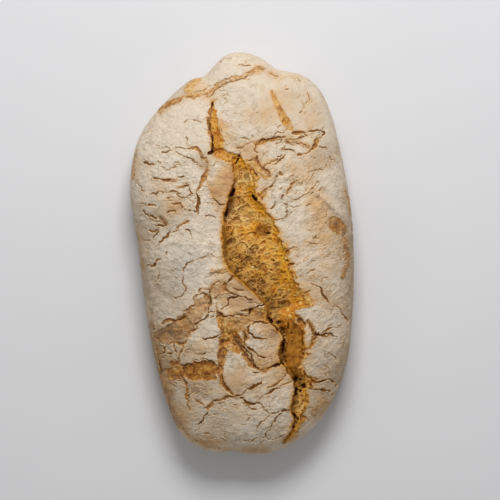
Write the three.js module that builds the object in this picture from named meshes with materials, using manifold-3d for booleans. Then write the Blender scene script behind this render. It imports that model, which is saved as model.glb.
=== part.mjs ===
// A rustic oblong loaf: a domed, floured crust with a tucked-in end, split open along its length so that
// the crumb shows, and broken into plates by cracks. Millimetres, +Z up, the flat underside on z = 0,
// +Y along the loaf towards the tucked end, +X across it.
import * as THREE from "three";
import { mergeVertices } from "three/addons/utils/BufferGeometryUtils.js";
import Module from "manifold-3d";

// Driving dimensions of the whole loaf
const HEIGHT = 62; // crown above the table
const BELLY = 23; // height at which the loaf is widest
const FOOT_INSET = 15; // the flat underside ends this far inside the widest outline
const DOME_ACROSS = 2.8; // exponents of the dome's superellipse, out from the middle
const DOME_UP = 2.1; // and upwards
const LOBE_DIP = 3.5; // the dome sinks this much towards the split, so that it has two lobes
const LOBE_HALF_WIDTH = 24;
const LUMP = 0.9; // uneven rise and fall of the crust
const LUMP_SPAN = { across: 13, along: 17, slantAcross: 29, slantAlong: 23 }; // radian lengths of its waves

// Widest outline, seen from above, anticlockwise from the middle of the right side
const OUTLINE = [
  [78.2, -8], [76.3, 30], [68.5, 73], [62, 98], [53.5, 115.5], [41, 124.8], [24, 129], [13, 136.5],
  [-1, 140.7], [-12, 138], [-20, 130.5], [-26, 124], [-36, 121], [-58, 101], [-71.5, 82], [-77, 62],
  [-78.2, 40], [-74, 15], [-68.5, -30], [-62, -70], [-53.5, -101], [-43.5, -125], [-31, -135.5],
  [-18, -139.4], [-6, -138.7], [9, -140.7], [26, -137.7], [45, -126.5], [62, -106], [72.5, -80], [77, -48],
];

// The long split: x of its two lips, its depth and how its floor rises to the right, at places along y.
// A floor of power 3 is a flat bed with a torn right side, one under 1 is a ramp beside a narrow channel.
const SPLIT = {
  left: [[66, -7], [52, -5], [40, -9], [28, -12], [10, -13], [-9, -10], [-22, 2], [-36, 16], [-46, 18],
    [-58, 27.5], [-74, 26], [-90, 36], [-107, 33.5], [-119, 35.5], [-133, 28]],
  right: [[66, 0], [58, 8], [42, 9], [30, 16], [17, 23.5], [0, 30], [-20, 36], [-34, 43.5], [-43, 36],
    [-58, 43], [-68, 43], [-78, 39.5], [-90, 45.5], [-99, 46], [-112, 41], [-124, 37], [-133, 29.5]],
  depth: [[66, 4], [48, 8], [20, 10], [-30, 9], [-50, 10], [-80, 9], [-100, 7], [-133, 2]],
  rise: [[66, 2], [30, 3], [-35, 3], [-50, 0.6], [-82, 0.6], [-92, 2], [-133, 2]],
  bump: 1.1, // height of the crumb's strands and pores
};
// The upper tear: a dark crack with a bare slope on its right, out of line with the long split
const TEAR = {
  left: [[105, -20.5], [97, -22.5], [88, -23], [80, -21], [69, -22.5]],
  right: [[105, -19], [98, -14], [88, -11], [78, -10], [69, -10]],
  depth: [[105, 2], [97, 5], [80, 7], [69, 6]],
  rise: [[105, 0.6], [69, 0.6]],
  bump: 0.3,
};
const STATION = 4.5; // length of one step along a split
const SPLIT_COLUMNS = 7; // faces across a split
const SHALLOWEST = 0.15; // share of its depth that a split keeps at its right lip
const CRUMB_SPAN = { across: 1, along: 1.6 }; // radian lengths of the crumb's waves

// Cracks in the crust: the fold of the tucked end, tears and gaps between plates
const CRACKS = [
  { path: [[-58, 100], [-49, 106], [-34, 108], [-23, 111.5], [-12, 120.5], [0, 124], [15, 131]], width: 4.2, depth: 3 },
  { path: [[-23, 70], [-13, 69], [-7, 67], [-4, 62]], width: 4.5, depth: 6 },
  { path: [[-7, 73], [12, 77.5], [30, 81], [43, 82.5], [58, 84]], width: 2.8, depth: 2.6 },
  { path: [[53, 77], [47, 69.5], [37, 67.5], [24, 64], [15, 58]], width: 2.4, depth: 2 },
  { path: [[20, 114], [27, 101], [35.5, 86]], width: 4.4, depth: 1.6 },
  { path: [[-60, 74], [-48, 72.5], [-32, 73], [-25, 66], [-24, 58], [-30, 43], [-30, 26]], width: 2.4, depth: 2 },
  { path: [[-46, 70], [-36, 65], [-24, 60]], width: 1.8, depth: 1.6 },
  { path: [[-63, 41], [-52, 42.5], [-45, 41], [-40, 38], [-33, 42]], width: 2, depth: 1.6 },
  { path: [[-58, 5], [-49, 14], [-37, 22]], width: 2.2, depth: 1.8 },
  { path: [[-30, -27], [-19, -21], [-8, -20], [3, -30], [17, -36]], width: 2.4, depth: 2.2 },
  { path: [[-56, -49], [-42, -46], [-34, -36], [-22, -31], [-17, -44]], width: 2.6, depth: 2 },
  { path: [[-60, -62], [-40, -62], [-35, -54], [-23, -45]], width: 2.6, depth: 2 },
  { path: [[-15, -43], [-12.5, -58], [-15, -76], [-11, -92], [-3, -100]], width: 5.4, depth: 3 },
  { path: [[-57, -83], [-44, -76], [-42, -88], [-37, -102]], width: 2.6, depth: 2.2 },
  { path: [[-3, -100], [-20, -104], [-29, -119]], width: 2.4, depth: 2 },
  { path: [[-3, -100], [12, -104], [21, -112], [36, -109]], width: 2.2, depth: 2 },
  { path: [[-3, -99], [13, -90], [30, -85]], width: 2, depth: 1.8 },
  { path: [[-7, -56], [1, -69], [13, -80], [27, -77]], width: 5, depth: 2.6 },
  { path: [[20, -49], [6, -49], [6, -57], [16, -60]], width: 2.4, depth: 1.8 },
  { path: [[48, -22], [57, -31], [66, -38], [75, -47]], width: 2, depth: 1.8 },
  { path: [[45, -88], [55, -90], [64, -91]], width: 2.4, depth: 1.8 },
];
const CRACK_STEP = 5; // length of one step along a crack
const CRACK_ABOVE = 3; // a crack's cutting wedge stands this far out of the crust
const CRACK_FLOOR = 0.12; // width of its bottom, as a share of its half width
const CRACK_TIP = 0.2; // share of width and depth left at its two tips

// Places where the crust is sunken and bare of flour: middle, half sizes, turn in degrees and depth
const BARE = [
  { at: [-46, -54], half: [19, 9], turn: 28, depth: 1.5 },
  { at: [-28, -81], half: [13, 8.5], turn: -6, depth: 1.4 },
  { at: [-47, -83], half: [9, 5], turn: 0, depth: 1.2 },
  { at: [67, 17], half: [5.5, 8], turn: 35, depth: 1.2 },
];
const BARE_EDGE = 0.4; // width of a bare place's sloping edge, as a share of its half size

// Fineness of the crust's faces: subdivisions, and the share of the sphere that becomes the dome
const CRUST_DETAIL = 14;
const DOME_SHARE = 0.72;
const FLANK_SHARE = 0.5; // of what is left, the share that becomes the round flank above the flat foot

const wasm = await Module();
wasm.setup();

// Radius of the widest outline in each direction, by steps of one angle all round
const ANGLE_STEPS = 720;
const outlineTable = (() => {
  const curve = new THREE.CatmullRomCurve3(
    OUTLINE.map(([x, y]) => new THREE.Vector3(x, y, 0)), true, "centripetal");
  const polar = curve.getPoints(2 * ANGLE_STEPS)
    .map(({ x, y }) => [(Math.atan2(y, x) + 2 * Math.PI) % (2 * Math.PI), Math.hypot(x, y)])
    .sort((a, b) => a[0] - b[0]);
  const first = polar[0];
  const last = polar.at(-1);
  const round = [[last[0] - 2 * Math.PI, last[1]], ...polar, [first[0] + 2 * Math.PI, first[1]]];
  return Array.from({ length: ANGLE_STEPS }, (_, i) => readAt(round, (2 * Math.PI * i) / ANGLE_STEPS));
})();

// Value at a place in a list of [place, value] that rises or falls steadily
function readAt(list, place) {
  const falls = list[0][0] > list.at(-1)[0];
  const next = list.findIndex(([p]) => (falls ? p <= place : p >= place));
  if (next < 0) return list.at(-1)[1];
  if (next === 0) return list[0][1];
  const [p0, v0] = list[next - 1];
  const [p1, v1] = list[next];
  return p1 === p0 ? v1 : v0 + ((v1 - v0) * (place - p0)) / (p1 - p0);
}

function outlineRadius(x, y) {
  const turn = (Math.atan2(y, x) / (2 * Math.PI) + 1) * ANGLE_STEPS;
  const low = Math.floor(turn);
  const share = turn - low;
  return outlineTable[low % ANGLE_STEPS] * (1 - share) + outlineTable[(low + 1) % ANGLE_STEPS] * share;
}

// How far the crust departs from the plain dome: lobes beside the split, lumps and bare places
function unevenness(x, y, share) {
  const middle = (readAt(SPLIT.left, y) + readAt(SPLIT.right, y)) / 2;
  const lobes = LOBE_DIP * Math.exp(-(((x - middle) / LOBE_HALF_WIDTH) ** 2));
  const { across: wide, along: long, slantAcross, slantAlong } = LUMP_SPAN;
  const lumps = LUMP * (Math.sin(x / wide) * Math.cos(y / long) + Math.sin(x / slantAcross - y / slantAlong));
  const bare = BARE.reduce((sum, { at, half, turn, depth }) => {
    const angle = THREE.MathUtils.degToRad(turn);
    const [dx, dy] = [x - at[0], y - at[1]];
    const along = (dx * Math.cos(angle) + dy * Math.sin(angle)) / half[0];
    const across = (dy * Math.cos(angle) - dx * Math.sin(angle)) / half[1];
    const inside = 1 + BARE_EDGE / 2 - Math.hypot(along, across);
    return sum + depth * THREE.MathUtils.smoothstep(inside, 0, BARE_EDGE);
  }, 0);
  return (lumps - lobes - bare) * (1 - share ** 4);
}

// Height of the crust over a place inside the outline
function crustHeight(x, y) {
  const share = Math.min(1, Math.hypot(x, y) / outlineRadius(x, y));
  const dome = (HEIGHT - BELLY) * (1 - share ** DOME_ACROSS) ** (1 / DOME_UP);
  return BELLY + dome + unevenness(x, y, share);
}

// Moves every vertex of a closed geometry and gives it back with shared vertices merged
function warp(geometry, move) {
  geometry.deleteAttribute("normal");
  geometry.deleteAttribute("uv");
  const merged = mergeVertices(geometry);
  const position = merged.getAttribute("position");
  for (let i = 0; i < position.count; i++)
    position.setXYZ(i, ...move(position.getX(i), position.getY(i), position.getZ(i)));
  return merged;
}

function solidOf(geometry) {
  return new wasm.Manifold(new wasm.Mesh({
    numProp: 3,
    vertProperties: geometry.getAttribute("position").array,
    triVerts: new Uint32Array(geometry.index.array),
  }));
}

// The whole loaf before it split: a ball drawn out to the outline, domed above and flat below
function dough() {
  return solidOf(warp(new THREE.IcosahedronGeometry(1, CRUST_DETAIL), (x, y, z) => {
    const polar = Math.acos(THREE.MathUtils.clamp(z, -1, 1)) / Math.PI;
    const radius = outlineRadius(x, y);
    const flat = Math.hypot(x, y) || 1;
    const place = (share) => [(share * radius * x) / flat, (share * radius * y) / flat];
    if (polar <= DOME_SHARE) {
      const share = Math.sin(((polar / DOME_SHARE) * Math.PI) / 2) ** (2 / DOME_ACROSS);
      const [px, py] = place(Math.min(share, 1));
      return [px, py, crustHeight(px, py)];
    }
    const under = (polar - DOME_SHARE) / (1 - DOME_SHARE);
    const foot = 1 - FOOT_INSET / radius;
    if (under <= FLANK_SHARE) {
      const round = ((under / FLANK_SHARE) * Math.PI) / 2;
      return [...place(foot + (1 - foot) * Math.cos(round)), BELLY * (1 - Math.sin(round))];
    }
    return [...place((foot * (1 - under)) / (1 - FLANK_SHARE)), 0];
  }));
}

// A cutting body for a split: its floor lies under the crust by the split's depth, its lid clear above
function splitCutter({ left, right, depth, rise, bump }) {
  const lip = (points) => new THREE.SplineCurve(points.map(([y, x]) => new THREE.Vector2(x, y)))
    .getPoints(10 * points.length).map(({ x, y }) => [y, x]);
  const [leftLip, rightLip] = [lip(left), lip(right)];
  const [top, bottom] = [left[0][0], left.at(-1)[0]];
  const steps = Math.round((top - bottom) / STATION);
  const box = new THREE.BoxGeometry(1, 1, 1, steps, SPLIT_COLUMNS, 1);
  return solidOf(warp(box, (u, v, w) => {
    const y = top + (bottom - top) * (u + 0.5);
    const across = v + 0.5;
    const x = THREE.MathUtils.lerp(readAt(leftLip, y), readAt(rightLip, y), across);
    if (w > 0) return [x, y, HEIGHT + BELLY];
    const crumb = bump * Math.sin(x / CRUMB_SPAN.across) * Math.sin(y / CRUMB_SPAN.along);
    const share = 1 - (1 - SHALLOWEST) * across ** readAt(rise, y);
    return [x, y, crustHeight(x, y) - readAt(depth, y) * share + crumb * share];
  }));
}

// A wedge along a crack, wide at the crust and narrow at the bottom, running out at both tips
function crackCutter({ path, width, depth }) {
  const curve = new THREE.CatmullRomCurve3(
    path.map(([x, y]) => new THREE.Vector3(x, y, 0)), false, "centripetal");
  const steps = Math.max(4, Math.round(curve.getLength() / CRACK_STEP));
  return solidOf(warp(new THREE.BoxGeometry(1, 1, 1, steps, 1, 1), (u, v, w) => {
    const along = u + 0.5;
    const point = curve.getPointAt(along);
    const ahead = curve.getTangentAt(along);
    const full = CRACK_TIP + (1 - CRACK_TIP) * Math.sqrt(Math.max(0, 4 * along * (1 - along)));
    const slope = (width * (1 - CRACK_FLOOR)) / depth;
    const half = (full * width * (w > 0 ? 1 : CRACK_FLOOR) + (w > 0 ? slope * CRACK_ABOVE : 0)) / 2;
    const z = crustHeight(point.x, point.y) + (w > 0 ? CRACK_ABOVE : -full * depth);
    const side = Math.sign(v) * half;
    return [point.x - ahead.y * side, point.y + ahead.x * side, z];
  }));
}

// The loaf is the dough less its splits and cracks; loose scraps between two cuts fall off
function loaf() {
  const cuts = [SPLIT, TEAR].map(splitCutter).concat(CRACKS.map(crackCutter));
  const pieces = cuts.reduce((body, cut) => body.subtract(cut), dough()).decompose();
  const { vertProperties, triVerts } = pieces.sort((a, b) => b.volume() - a.volume())[0].getMesh();
  return new THREE.BufferGeometry()
    .setAttribute("position", new THREE.BufferAttribute(vertProperties, 3))
    .setIndex(new THREE.BufferAttribute(triVerts, 1));
}

const flouredCrust = new THREE.MeshStandardMaterial({ color: 0xd9c9b2, roughness: 0.9, metalness: 0 });
const loafMesh = new THREE.Mesh(loaf(), flouredCrust);
loafMesh.name = "loaf";

const bread = new THREE.Group();
bread.add(loafMesh);
export default bread;
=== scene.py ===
"""The looks of a floured rustic loaf: cracked crust, open crumb and flour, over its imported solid.

Sizes are in millimetres in the loaf's own frame, +Y towards the tucked end, and become metres in the meshes.
"""

import logging
import math
from collections.abc import Iterable
from dataclasses import dataclass
from enum import Enum

import bpy
import numpy as np
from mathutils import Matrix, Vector
from mathutils.geometry import delaunay_2d_cdt


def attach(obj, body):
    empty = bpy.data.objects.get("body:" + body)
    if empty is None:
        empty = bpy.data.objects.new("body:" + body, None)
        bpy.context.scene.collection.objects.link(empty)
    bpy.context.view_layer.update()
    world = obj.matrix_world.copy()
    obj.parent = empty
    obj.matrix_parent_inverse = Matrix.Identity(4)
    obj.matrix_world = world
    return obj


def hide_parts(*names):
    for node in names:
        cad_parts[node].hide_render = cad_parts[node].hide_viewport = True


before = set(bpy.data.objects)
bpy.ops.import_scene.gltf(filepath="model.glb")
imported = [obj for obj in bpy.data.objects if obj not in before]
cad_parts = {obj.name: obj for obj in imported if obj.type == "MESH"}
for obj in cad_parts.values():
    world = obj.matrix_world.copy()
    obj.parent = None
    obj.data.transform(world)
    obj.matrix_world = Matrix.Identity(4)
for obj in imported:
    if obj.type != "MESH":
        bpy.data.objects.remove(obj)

LOG = logging.getLogger("loaf")
MM = 0.001
Array = np.ndarray
# Pairs of numbers, and a line as x and y of each of its places in turn
Places = tuple[tuple[float, float], ...]
Line = tuple[float, ...]
Colour = tuple[float, float, float]


def ease(low: float, high: float, value: Array) -> Array:
    """Ease from 0 to 1.

    Args:
        low: Value at which the result leaves 0; it may lie above high, and the ease then falls.
        high: Value at which the result reaches 1.
        value: Values to ease.

    Returns:
        The eased values.
    """
    share = np.clip((value - low) / (high - low), 0.0, 1.0)
    return share * share * (3.0 - 2.0 * share)


def hump(value: Array, middle: float, half: float) -> Array:
    """A soft hump: 1 at its middle, fading over its half width."""
    return np.exp(-(((value - middle) / half) ** 2))


def patchy(x: Array, y: Array, span: float, seed: int) -> Array:
    """Smooth random patches over the plane.

    Args:
        x: Places across.
        y: Places along.
        span: Size of a patch.
        seed: Which random field to use.

    Returns:
        Values from -1 to 1.
    """
    side = 256
    field = np.random.default_rng(seed).uniform(-1.0, 1.0, (side, side))
    column, row = np.asarray(x) / span, np.asarray(y) / span
    left, low = np.floor(column).astype(int), np.floor(row).astype(int)
    across = ease(0.0, 1.0, column - left)
    up = ease(0.0, 1.0, row - low)

    def corner(right: int, high: int) -> Array:
        """Field values at one corner of each cell."""
        return field[(low + high) % side, (left + right) % side]

    bottom = corner(0, 0) * (1 - across) + corner(1, 0) * across
    top = corner(0, 1) * (1 - across) + corner(1, 1) * across
    return bottom * (1 - up) + top * up


def wavering(run: Array, span: float, seed: int) -> Array:
    """Smooth random wavering along a line.

    Args:
        run: Places along the line.
        span: Length of one waver.
        seed: Which random wavering to use.

    Returns:
        Values from -1 to 1.
    """
    knots = np.random.default_rng(seed).uniform(-1.0, 1.0, 128)
    place = np.asarray(run) / span
    start = np.floor(place).astype(int)
    share = ease(0.0, 1.0, place - start)
    return knots[start % len(knots)] * (1 - share) + knots[(start + 1) % len(knots)] * share


def drawn_line(points: Places | Line, step: float, closed: bool = False) -> Array:
    """A smooth line through a few points.

    Args:
        points: Places that the line passes through, as pairs or as x and y in turn.
        step: Rough distance between the places it returns.
        closed: Whether the line runs back to its first point.

    Returns:
        Places along the line, one row each.
    """
    knots = np.array(points, float).reshape(-1, 2)
    if closed:
        knots = np.vstack([knots[-1], knots, knots[0], knots[1]])
    else:
        knots = np.vstack([2 * knots[0] - knots[1], knots, 2 * knots[-1] - knots[-2]])
    pieces = []
    for before, start, end, after in zip(knots, knots[1:], knots[2:], knots[3:]):
        pairs = ((before, start), (start, end), (end, after))
        gaps = [max(np.hypot(*(b - a)), 1e-6) ** 0.5 for a, b in pairs]
        leave = (start - before) / gaps[0] - (end - before) / (gaps[0] + gaps[1]) + (end - start) / gaps[1]
        arrive = (end - start) / gaps[1] - (after - start) / (gaps[1] + gaps[2]) + (after - end) / gaps[2]
        count = max(2, math.ceil(np.hypot(*(end - start)) / step))
        t = (np.arange(count) / count)[:, None]
        pieces.append(
            (2 * t**3 - 3 * t**2 + 1) * start
            + (t**3 - 2 * t**2 + t) * leave * gaps[1]
            + (3 * t**2 - 2 * t**3) * end
            + (t**3 - t**2) * arrive * gaps[1]
        )
    if not closed:
        pieces.append(knots[-2][None])
    return np.vstack(pieces)


def run_along(line: Array) -> Array:
    """Distance along a line to each of its places."""
    return np.concatenate([[0.0], np.cumsum(np.hypot(*np.diff(line, axis=0).T))])


def leftwards(ahead: Array) -> Array:
    """Directions turned a quarter to the left."""
    return np.stack([-ahead[:, 1], ahead[:, 0]], axis=1)


def turned(x: Array, y: Array, degrees: float) -> tuple[Array, Array]:
    """Places across and along, as seen in directions turned to the left."""
    cos, sin = math.cos(math.radians(degrees)), math.sin(math.radians(degrees))
    return x * cos + y * sin, y * cos - x * sin


def near_line(x: Array, y: Array, line: Array, margin: float) -> Array:
    """Numbers of the places in the box round a line and a margin."""
    low, high = line.min(axis=0) - margin, line.max(axis=0) + margin
    return np.flatnonzero((x > low[0]) & (x < high[0]) & (y > low[1]) & (y < high[1]))


def along_y(pairs: Places, y: Array) -> Array:
    """Read a value given at falling places along y, straight between them."""
    places, values = np.array(pairs[::-1]).T
    return np.interp(y, places, values)


@dataclass(frozen=True)
class LoafForm:
    """The loaf before it split: a dome over an uneven outline, on a flat foot."""

    height: float = 62.0
    belly: float = 23.0
    foot_inset: float = 15.0
    dome_across: float = 2.8
    dome_up: float = 2.1
    lobe_dip: float = 3.5
    lobe_half_width: float = 24.0
    lump: float = 0.9
    outline: Places = (
        (78.2, -8), (76.3, 30), (68.5, 73), (62, 98), (53.5, 115.5), (41, 124.8), (24, 129), (13, 136.5),
        (-1, 140.7), (-12, 138), (-20, 130.5), (-26, 124), (-36, 121), (-58, 101), (-71.5, 82), (-77, 62),
        (-78.2, 40), (-74, 15), (-68.5, -30), (-62, -70), (-53.5, -101), (-43.5, -125), (-31, -135.5),
        (-18, -139.4), (-6, -138.7), (9, -140.7), (26, -137.7), (45, -126.5), (62, -106), (72.5, -80),
        (77, -48),
    )

    def rim(self) -> Array:
        """The widest outline as a closed run of places about a millimetre apart."""
        return drawn_line(self.outline, 0.8, closed=True)

    def radius(self, angle: Array) -> Array:
        """Distance from the middle to the widest outline in a direction."""
        rim = self.rim()
        return np.interp(angle, np.arctan2(rim[:, 1], rim[:, 0]), np.hypot(*rim.T), period=2 * math.pi)

    def share(self, x: Array, y: Array) -> Array:
        """How far out a place lies, from 0 in the middle to 1 at the widest outline."""
        return np.hypot(x, y) / self.radius(np.arctan2(y, x))

    def crust(self, x: Array, y: Array, split: "LongSplit") -> Array:
        """Height of the unbroken crust.

        Args:
            x: Places across.
            y: Places along.
            split: The long split that the dome sinks towards.

        Returns:
            Heights above the table.
        """
        share = np.minimum(1.0, self.share(x, y))
        dome = (self.height - self.belly) * (1 - share**self.dome_across) ** (1 / self.dome_up)
        middle = (along_y(split.left, y) + along_y(split.right, y)) / 2
        lobes = self.lobe_dip * hump(x, middle, self.lobe_half_width)
        lumps = self.lump * (np.sin(x / 13) * np.cos(y / 17) + np.sin(x / 29 - y / 23))
        return self.belly + dome + (lumps - lobes) * (1 - share**4)


@dataclass(frozen=True)
class LongSplit:
    """The long opening in the crust: lips, depth and rise of its bed, given along y."""

    left: Places = (
        (66, -7), (52, -5), (40, -9), (28, -12), (10, -13), (-9, -10), (-22, 2), (-36, 16), (-46, 18),
        (-58, 27.5), (-74, 26), (-90, 36), (-107, 34.2), (-119, 36), (-133, 28),
    )
    right: Places = (
        (66, 0), (60, 3.6), (52, 5.8), (42, 8.6), (30, 16), (17, 23.5), (0, 30), (-20, 36), (-34, 43.5),
        (-43, 36), (-58, 43), (-68, 43), (-78, 39.5), (-90, 45.5), (-99, 46), (-112, 41), (-124, 37),
        (-133, 29.5),
    )
    depth: Places = ((66, 4), (48, 8), (20, 10), (-30, 9), (-50, 10), (-80, 8.5), (-100, 5.5), (-133, 2))
    rise: Places = ((66, 2), (30, 3), (-35, 3), (-50, 0.6), (-82, 0.6), (-92, 2), (-133, 2))
    shallowest: float = 0.15
    step: Places = ((66, 3), (52, 3), (47, 12), (24, 12), (18, 3), (-133, 3))
    wall: float = 4.2
    left_ragged: float = 0.5
    right_ragged: float = 1.5
    seed: int = 11

    @property
    def top(self) -> float:
        """Where the split starts, towards the tucked end."""
        return self.left[0][0]

    @property
    def bottom(self) -> float:
        """Where the split ends."""
        return self.left[-1][0]

    def lip(self, points: Places, y: Array, ragged: float, seed: int) -> Array:
        """Place across of one torn lip.

        Args:
            points: The lip's drawn points, as (y, x).
            y: Places along.
            ragged: How far the tear strays from the drawn line.
            seed: Which random tear to use.

        Returns:
            Places across.
        """
        line = drawn_line(tuple((b, a) for a, b in points), 0.5)
        order = np.argsort(line[:, 1])
        torn = wavering(y, 4.0, seed) + 0.6 * wavering(y, 1.4, seed + 1)
        fade = ease(self.bottom, self.bottom + 8, y) * ease(self.top, self.top - 8, y)
        return np.interp(y, line[order, 1], line[order, 0]) + ragged * torn * fade

    def lips(self, y: Array, torn: float = 1.0) -> tuple[Array, Array]:
        """Places across of the left and right lips, torn fully at 1 and smooth at 0."""
        left = self.lip(self.left, y, torn * self.left_ragged, self.seed)
        return left, np.maximum(self.lip(self.right, y, torn * self.right_ragged, self.seed + 7), left + 0.8)

    def sunk(self, x: Array, y: Array) -> Array:
        """Depth of the bed under the unbroken crust.

        Args:
            x: Places across.
            y: Places along.

        Returns:
            Depths at those places.
        """
        left, right = self.lips(y, 0.0)
        across = np.clip((x - left) / (right - left), 0.0, 1.0)
        deep = along_y(self.depth, y) * (1 - (1 - self.shallowest) * across ** along_y(self.rise, y))
        step = np.minimum(along_y(self.step, y), deep)
        wall = np.minimum(self.wall, 0.3 * (right - left))
        return step + (deep - step) * ease(0.0, 1.0, (x - left) / wall)


@dataclass(frozen=True)
class CrackStyle:
    """How a crack is cut and browned: depth, lip and dip of the crust beside it as shares of its width.

    The tone runs from 0, tan, to 1, near black, and a crack with an open floor shows that floor's crust,
    with a painted shadow line, as wide as edge and of painted_shadow_tone, along its upper edge.
    """

    depth: float
    lip: float
    dip: float
    tone: float
    amber: float = 0.0
    open_floor: bool = False
    edge: float = 0.14
    painted_shadow_tone: float = 0.58


class CrackKind(Enum):
    """The kinds of break in the crust."""

    HAIRLINE = CrackStyle(depth=0.8, lip=0.3, dip=0.4, tone=0.42)
    PLATE = CrackStyle(depth=0.8, lip=0.45, dip=0.7, tone=0.46)
    GAP = CrackStyle(depth=0.5, lip=0.16, dip=0.4, tone=0.47, amber=0.36, open_floor=True)
    FOLD = CrackStyle(
        depth=0.3, lip=0.15, dip=0.5, tone=0.26, amber=0.2, open_floor=True, edge=0.0, painted_shadow_tone=0.4)
    TEAR = CrackStyle(depth=1.0, lip=0.15, dip=0.3, tone=0.74, amber=0.9)
    CRAZE = CrackStyle(depth=0.9, lip=0.3, dip=0.4, tone=0.46)


@dataclass(frozen=True)
class Crack:
    """One crack: its kind, its width at the crust and the places it runs through."""

    kind: CrackKind
    width: float
    path: Line
    reach: float = 7.0

    def measure(self, x: Array, y: Array, seed: int) -> tuple[Array, ...]:
        """Find the places near the crack and how far from it they lie.

        Args:
            x: Places across.
            y: Places along.
            seed: Which random jaggedness to use.

        Returns:
            Numbers of the places near the crack, how far outside its edge they lie, how far towards the
            tucked end of its line they lie, and the crack's half width beside them.
        """
        line = drawn_line(self.path, 0.6)
        ahead = np.gradient(line, axis=0)
        ahead /= np.maximum(np.hypot(*ahead.T), 1e-9)[:, None]
        run = run_along(line)
        jag = 0.6 * wavering(run, 2.4, seed) + 0.4 * wavering(run, 1.0, seed + 1)
        line = line + leftwards(ahead) * jag[:, None]
        taper = np.clip(4 * run * (run[-1] - run) / run[-1] ** 2, 0.0, 1.0) ** 0.5
        swell = 0.3 + 1.6 * (0.5 + 0.5 * wavering(run, 5.0, seed + 2)) ** 2
        half = self.width / 2 * (0.35 + 0.65 * taper) * swell * (1.0 + 0.4 * wavering(run, 1.1, seed + 3))
        near = near_line(x, y, line, self.reach)
        place = np.stack([x[near], y[near]], axis=1)
        best = np.full(len(near), 1e9)
        above = np.zeros(len(near))
        beside = np.zeros(len(near))
        for start, end, thick, next_thick in zip(line, line[1:], half, half[1:]):
            side = end - start
            t = np.clip(((place - start) @ side) / max(side @ side, 1e-12), 0.0, 1.0)
            off = place - start - t[:, None] * side
            here = thick + (next_thick - thick) * t
            out = np.hypot(*off.T) - here
            closer = out < best
            above[closer] = off[closer, 1]
            beside[closer] = here[closer]
            best[closer] = out[closer]
        return near, best, above, beside


def cracks(*rows: CrackKind | Line) -> tuple[Crack, ...]:
    """Make cracks from rows of numbers.

    Args:
        rows: A kind, which holds for the rows after it, or a crack's width and x and y of each of its places.

    Returns:
        The cracks in the order of their rows.
    """
    made = []
    for row in rows:
        if isinstance(row, CrackKind):
            kind = row
        else:
            made.append(Crack(kind, row[0], row[1:]))
    return tuple(made)


@dataclass(frozen=True)
class BarePlace:
    """A run of crust with little or no flour, along a path with a half width at each end.

    Its tone runs from 0, tan, to 1, near black. Sink is how deep it lies, amber how orange it is, strength
    how much flour is gone, crisp how sharp its edge is and ragged how torn.
    """

    half: tuple[float, float]
    tone: float
    sink: float
    amber: float
    path: Line
    strength: float = 1.0
    crisp: float = 2.0
    ragged: float = 1.0


@dataclass(frozen=True)
class Ridge:
    """A soft ridge in the crust: its half width, its height, below 0 for a furrow, and its path."""

    half: float
    height: float
    path: Line


@dataclass(frozen=True)
class Warmth:
    """A soft spot of tanner flour, or of greyer flour at a share below 0, which in places is painted shade;
    and how much painted shade darkens the flour round it, lightening it below 0.
    """

    at: tuple[float, float]
    reach: float
    share: float
    painted_shade: float = 0.0


HAIR, PLATE, GAP, FOLD, TEAR, CRAZE = CrackKind

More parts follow.
